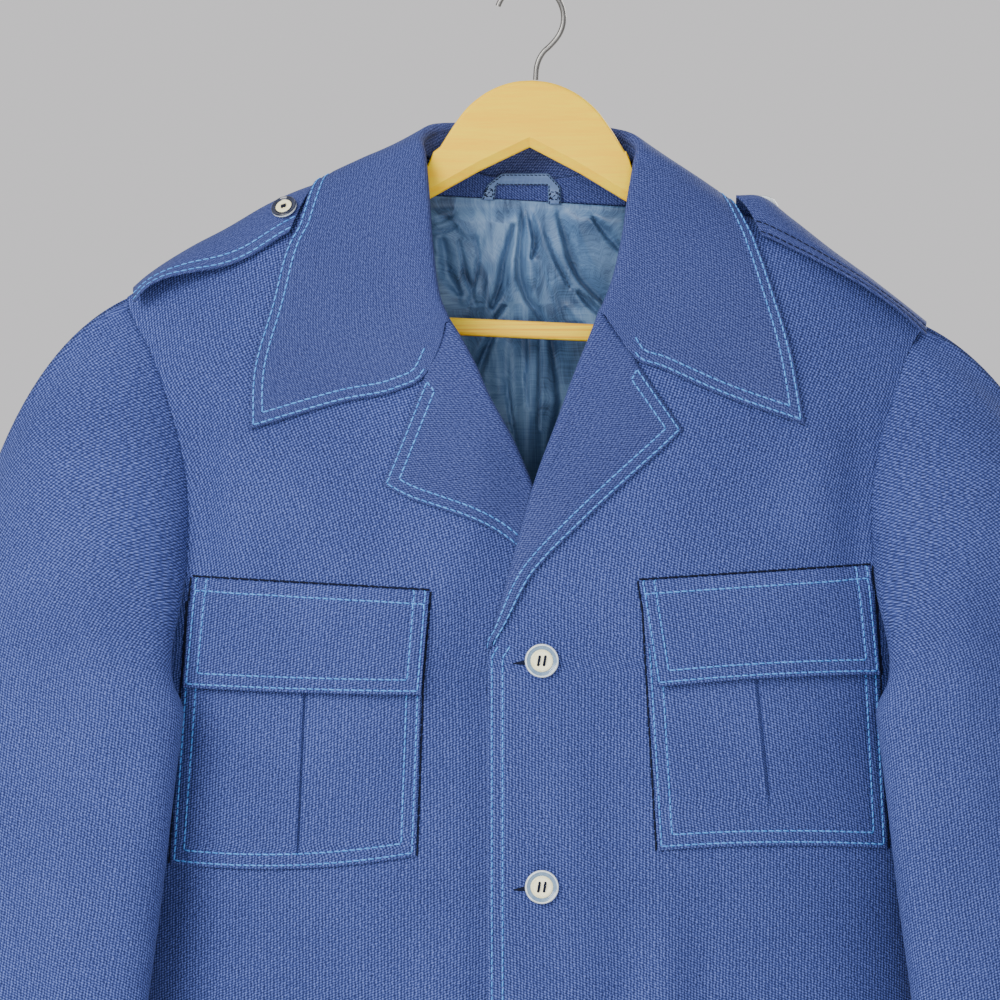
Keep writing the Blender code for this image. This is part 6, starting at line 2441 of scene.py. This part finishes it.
@dataclass(frozen=True)
class Hanger:
    """The wooden hanger: two arms with a round crown, a bevelled foot, a round bar and a wire hook."""

    body: Body
    half_depth: float = 6.0
    corner: float = 2.6
    bevel_high: float = 5.6
    bevel_deep: float = 2.6
    under_cloth: float = 5.4
    crown_x: float = 1.5
    crown_half: float = 54.5
    # from the crown's corner to where the cloth hides the arm
    neck: dict[Side, tuple[float, float]] = by_side((55.0, 60.5), (56.0, 63.0))
    reach: float = 202.0
    tilt: float = -0.047
    bar_z: float = -203.0
    bar_radius: float = 5.2
    bar_square: float = 6.0  # the bar's faces are planed nearly flat
    bar_reach: float = 173.0
    hook_radius: float = 20.0
    hook_wire: float = 1.6
    hook_z: float = -18.4
    # x and z of the wire from the crown up to its round bend; the crown sets where the first one ends
    stem: Table = ((3.5, 0), (3.7, -51.5), (4.0, -48), (5.4, -43.2), (8.2, -38.6), (12.2, -34.8))
    crown_rings: int = 121
    # distances out of the arm's rings: close together out of the crown and at the foot's step
    arm_near: tuple[float, ...] = (57.0, 58.5, 60.0, 61.5, 63.0, 64.5)
    arm_step: tuple[float, ...] = (173.3, 174.4)
    crown: Table = (
        (0, -55.5), (10, -56.5), (20, -59.6), (30, -65.2), (40, -74.3), (46, -82.5), (52, -92),
        (54.5, -96),
    )
    low: Table = (
        (0, -95), (30, -110), (60, -127.5), (100, -147), (140, -168), (173.3, -187), (174.4, -215),
        (190, -216), (202, -203),
    )

    def top_z(self, x: float) -> float:
        """Height of the upper edge: a round crown that runs out into the jacket's shoulders.

        Args:
            x: where to read it.

        Returns:
            The height.
        """
        off = abs(x - self.crown_x)
        if off > self.crown_half + 0.1:
            hidden = float(self.body.shoulder_z(x)) - self.under_cloth
            edge = self.crown[-1][1] + self.tilt / 2 * (x - self.crown_x)
            corner, end = self.neck[Side.RIGHT if x < 0 else Side.LEFT]
            return hidden + (edge - hidden) * float(step(end, corner, off))
        return float(curve(self.crown, 1, off)) + self.tilt / 2 * (x - self.crown_x)

    def arms(self, finishes: Finishes) -> None:
        """Builds the arms from rings across them.

        Args:
            finishes: the jacket's materials.
        """
        crown = np.sin(np.linspace(-1, 1, self.crown_rings) * math.pi / 2)
        crown = self.crown_x + self.crown_half * crown
        arm = [*self.arm_near, *np.linspace(66, 172, 36), *self.arm_step]
        arm += list(np.linspace(176, self.reach, 12))
        rings = []
        for x in [-out for out in reversed(arm)] + list(crown) + arm:
            top = self.top_z(x)
            low = lines(self.low, 1, abs(x)) + self.tilt * x * 0.5
            flat, r = self.half_depth - self.corner, self.corner
            half = []
            for a in np.radians(np.linspace(0, 90, 9)):
                half.append((flat + r * math.sin(a), top - r + r * math.cos(a)))
            band = min(self.bevel_high, (top - low) * 0.3)
            half.append((self.half_depth, low + band + 0.5))
            half.append((self.half_depth - 0.25, low + band))
            half.append((self.half_depth - self.bevel_deep, low + 0.7))
            half.append((self.half_depth - self.bevel_deep - 0.8, low))
            rings.append([(x, -y, z) for y, z in half] + [(x, y, z) for y, z in reversed(half)])
        ob = self.solid("hanger_arms_wood", np.array(rings), finishes.wood, 22)
        settle(ob, Slot.WOOD, "hanger_arms")

    def solid(self, name: str, rings: Array, finish: Any, sharp: float = 60.0) -> Any:
        """A closed solid from rings of points.

        Args:
            name: the piece's name.
            rings: the points, ring by ring.
            finish: its material.
            sharp: the angle in degrees above which an edge stays sharp.

        Returns:
            The object.
        """
        faces = tube_faces(*rings.shape[:2]).tolist() + capped(*rings.shape[:2]).tolist()
        return new_piece(name, rings, faces, [finish], sharp)

    def rod(self, path: Array, radius: float, sides: int, square: float = 2.0) -> Array:
        """Rings round a path in the plane of the hanger.

        Args:
            path: x and z of its points.
            radius: half the rod's thickness.
            sides: the number of points in a ring.
            square: 2 for a round section, more for one with flatter sides.

        Returns:
            The rings' points.
        """
        tangent = unit(np.gradient(path, axis=0))
        turns = np.arange(sides) * math.tau / sides
        reach = radius * (np.abs(np.cos(turns)) ** square + np.abs(np.sin(turns)) ** square) ** (-1 / square)
        up, deep = reach * np.cos(turns), reach * np.sin(turns)
        rings = []
        for (x, z), (dx, dz) in zip(path, tangent):
            rings.append(np.stack([x - dz * up, deep, z + dx * up], 1))
        return np.array(rings)

    def make(self, finishes: Finishes) -> None:
        """Builds the arms, the bar and the hook.

        Args:
            finishes: the jacket's materials.
        """
        self.arms(finishes)
        half = self.bar_reach * math.cos(math.atan(self.tilt))
        along = np.linspace(-half, half, 40)
        path = np.stack([along, self.bar_z + self.tilt * along], 1)
        rings = self.rod(path, self.bar_radius, 48, self.bar_square)
        settle(self.solid("hanger_bar_wood", rings, finishes.bar), Slot.WOOD, "hanger_bar")
        knots = [(self.stem[0][0], self.crown[0][1] + 0.3), *self.stem[1:]]
        for a in np.radians(range(-32, 166, 6)):
            knots.append((self.hook_radius * math.cos(a), self.hook_z + self.hook_radius * math.sin(a)))
        knots = np.array(knots)
        run = lengths(knots)
        at = np.linspace(0, run[-1], 150)
        path = np.stack([curve(tuple(zip(run, knots[:, k])), 1, at) for k in range(2)], 1)
        rings = self.rod(path, self.hook_wire, 20)
        settle(self.solid("hanger_hook_wire", rings, finishes.steel), Slot.STEEL, "hanger_hook")


@dataclass(frozen=True)
class Studio:
    """The plain floor, the soft light and the camera at the photograph's place."""

    floor_z: float = -1050.0
    floor_half: float = 6000.0
    # each light's name, place in metres, width in metres, power in watts and colour
    lights: tuple = (
        ("key", (-1.5, -2.0, 0.75), 1.4, 76.0, "#FFFDF8"),
        ("fill", (0.2, -3.0, -0.5), 1.0, 22.0, "#F8FAFF"),
        ("back", (1.7, 2.2, 0.7), 1.4, 70.0, "#FFFDF8"),
    )
    sky: str = "#E2E0E2"
    sky_strength: float = 1.06
    sensor: float = 36.0
    camera_x: float = -17.6
    camera_z: float = -303.5
    away: float = 12000.0  # a long lens: nothing in the photograph shrinks with depth
    front_y: float = -60.0
    across: float = 588.2

    def floor(self) -> None:
        """A pale plain floor, well below the hem."""
        material = dress(new_material("floor_painted_matt")[0], Base_Color=linear("#D6D5D3"), Roughness=0.9)
        r = self.floor_half
        corners = [(x, y, self.floor_z) for x, y in ((-r, -r), (r, -r), (r, r), (-r, r))]
        new_piece("floor", corners, [(0, 1, 2, 3)], [material])

    def light(self, name: str, place: tuple, size: float, watts: float, colour: str) -> None:
        """A soft square light that looks at the jacket's chest.

        Args:
            name: the light's name.
            place: where it stands, in metres.
            size: its width in metres.
            watts: its power.
            colour: its colour.
        """
        lamp = bpy.data.lights.new(name, "AREA")
        lamp.size = size
        lamp.energy = watts
        lamp.color = linear(colour)[:3]
        ob = new_object(name, lamp)
        ob.location = place
        ob.rotation_euler = (Vector((0, 0, -0.35)) - Vector(place)).to_track_quat("-Z", "Y").to_euler()

    def make(self) -> None:
        """Sets the floor, the lights, the world and the camera."""
        self.floor()
        for light in self.lights:
            self.light(*light)
        world = bpy.data.worlds.new("studio")
        world.use_nodes = True
        sky = world.node_tree.nodes["Background"]
        sky.inputs["Color"].default_value = linear(self.sky)
        sky.inputs["Strength"].default_value = self.sky_strength
        bpy.context.scene.world = world
        camera = bpy.data.cameras.new("camera")
        camera.sensor_width = self.sensor
        camera.lens = self.sensor * self.away / self.across
        camera.clip_end = 30.0
        ob = new_object("camera", camera)
        ob.location = (self.camera_x * MM, (self.front_y - self.away) * MM, self.camera_z * MM)
        ob.rotation_euler = (math.pi / 2, 0, 0)
        bpy.context.scene.camera = ob


def main() -> None:
    """Builds the jacket on its hanger, piece by piece, and the studio round it."""
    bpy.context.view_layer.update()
    body = Body()
    finishes = Finishes()
    sewing = Sewing("topstitching")
    # painted shade: the wearer's left strap lies in shade, so its rows are drawn in the dark navy thread;
    # both straps are really sewn with the same light blue thread
    shaded_strap_sewing = Sewing("strap_stitching_painted_shade")
    # painted shade: a dark thread line round the pockets and flaps, in place of the shade at their raised
    # edges
    shade_line = Sewing("edge_painted_shade_line", gap=0.0, half_width=0.6, height=0.25)
    Studio().make()
    fronts, back, sleeves = Fronts(body), BackPanel(body), Sleeves(body)
    pockets, lapels, straps = Pockets(body), Lapels(body), Straps(body)
    for side in Side:
        fronts.make(side, finishes, sewing)
        lapels.make(side, finishes, sewing)
        pockets.make(side, finishes, sewing, shade_line)
        sleeves.make(side, finishes)
        # the wearer's left strap gets the navy thread as painted shade
        straps.make(side, finishes, sewing if side == Side.RIGHT else shaded_strap_sewing)
    back.make(finishes)
    Collar(body).make(finishes, sewing)
    loop_sewing = Sewing("hang_loop_stitching", gap=0.5, half_width=0.3, height=0.22)
    NeckInside(body, back).make(finishes, loop_sewing)
    Buttons(body, straps).make(finishes)
    Hanger(body).make(finishes)
    sewing.piece(finishes.thread)
    shaded_strap_sewing.piece(finishes.navy_thread)
    shade_line.piece(finishes.navy_thread)
    loop_sewing.piece(finishes.navy_thread)


if __name__ == "__main__":
    main()
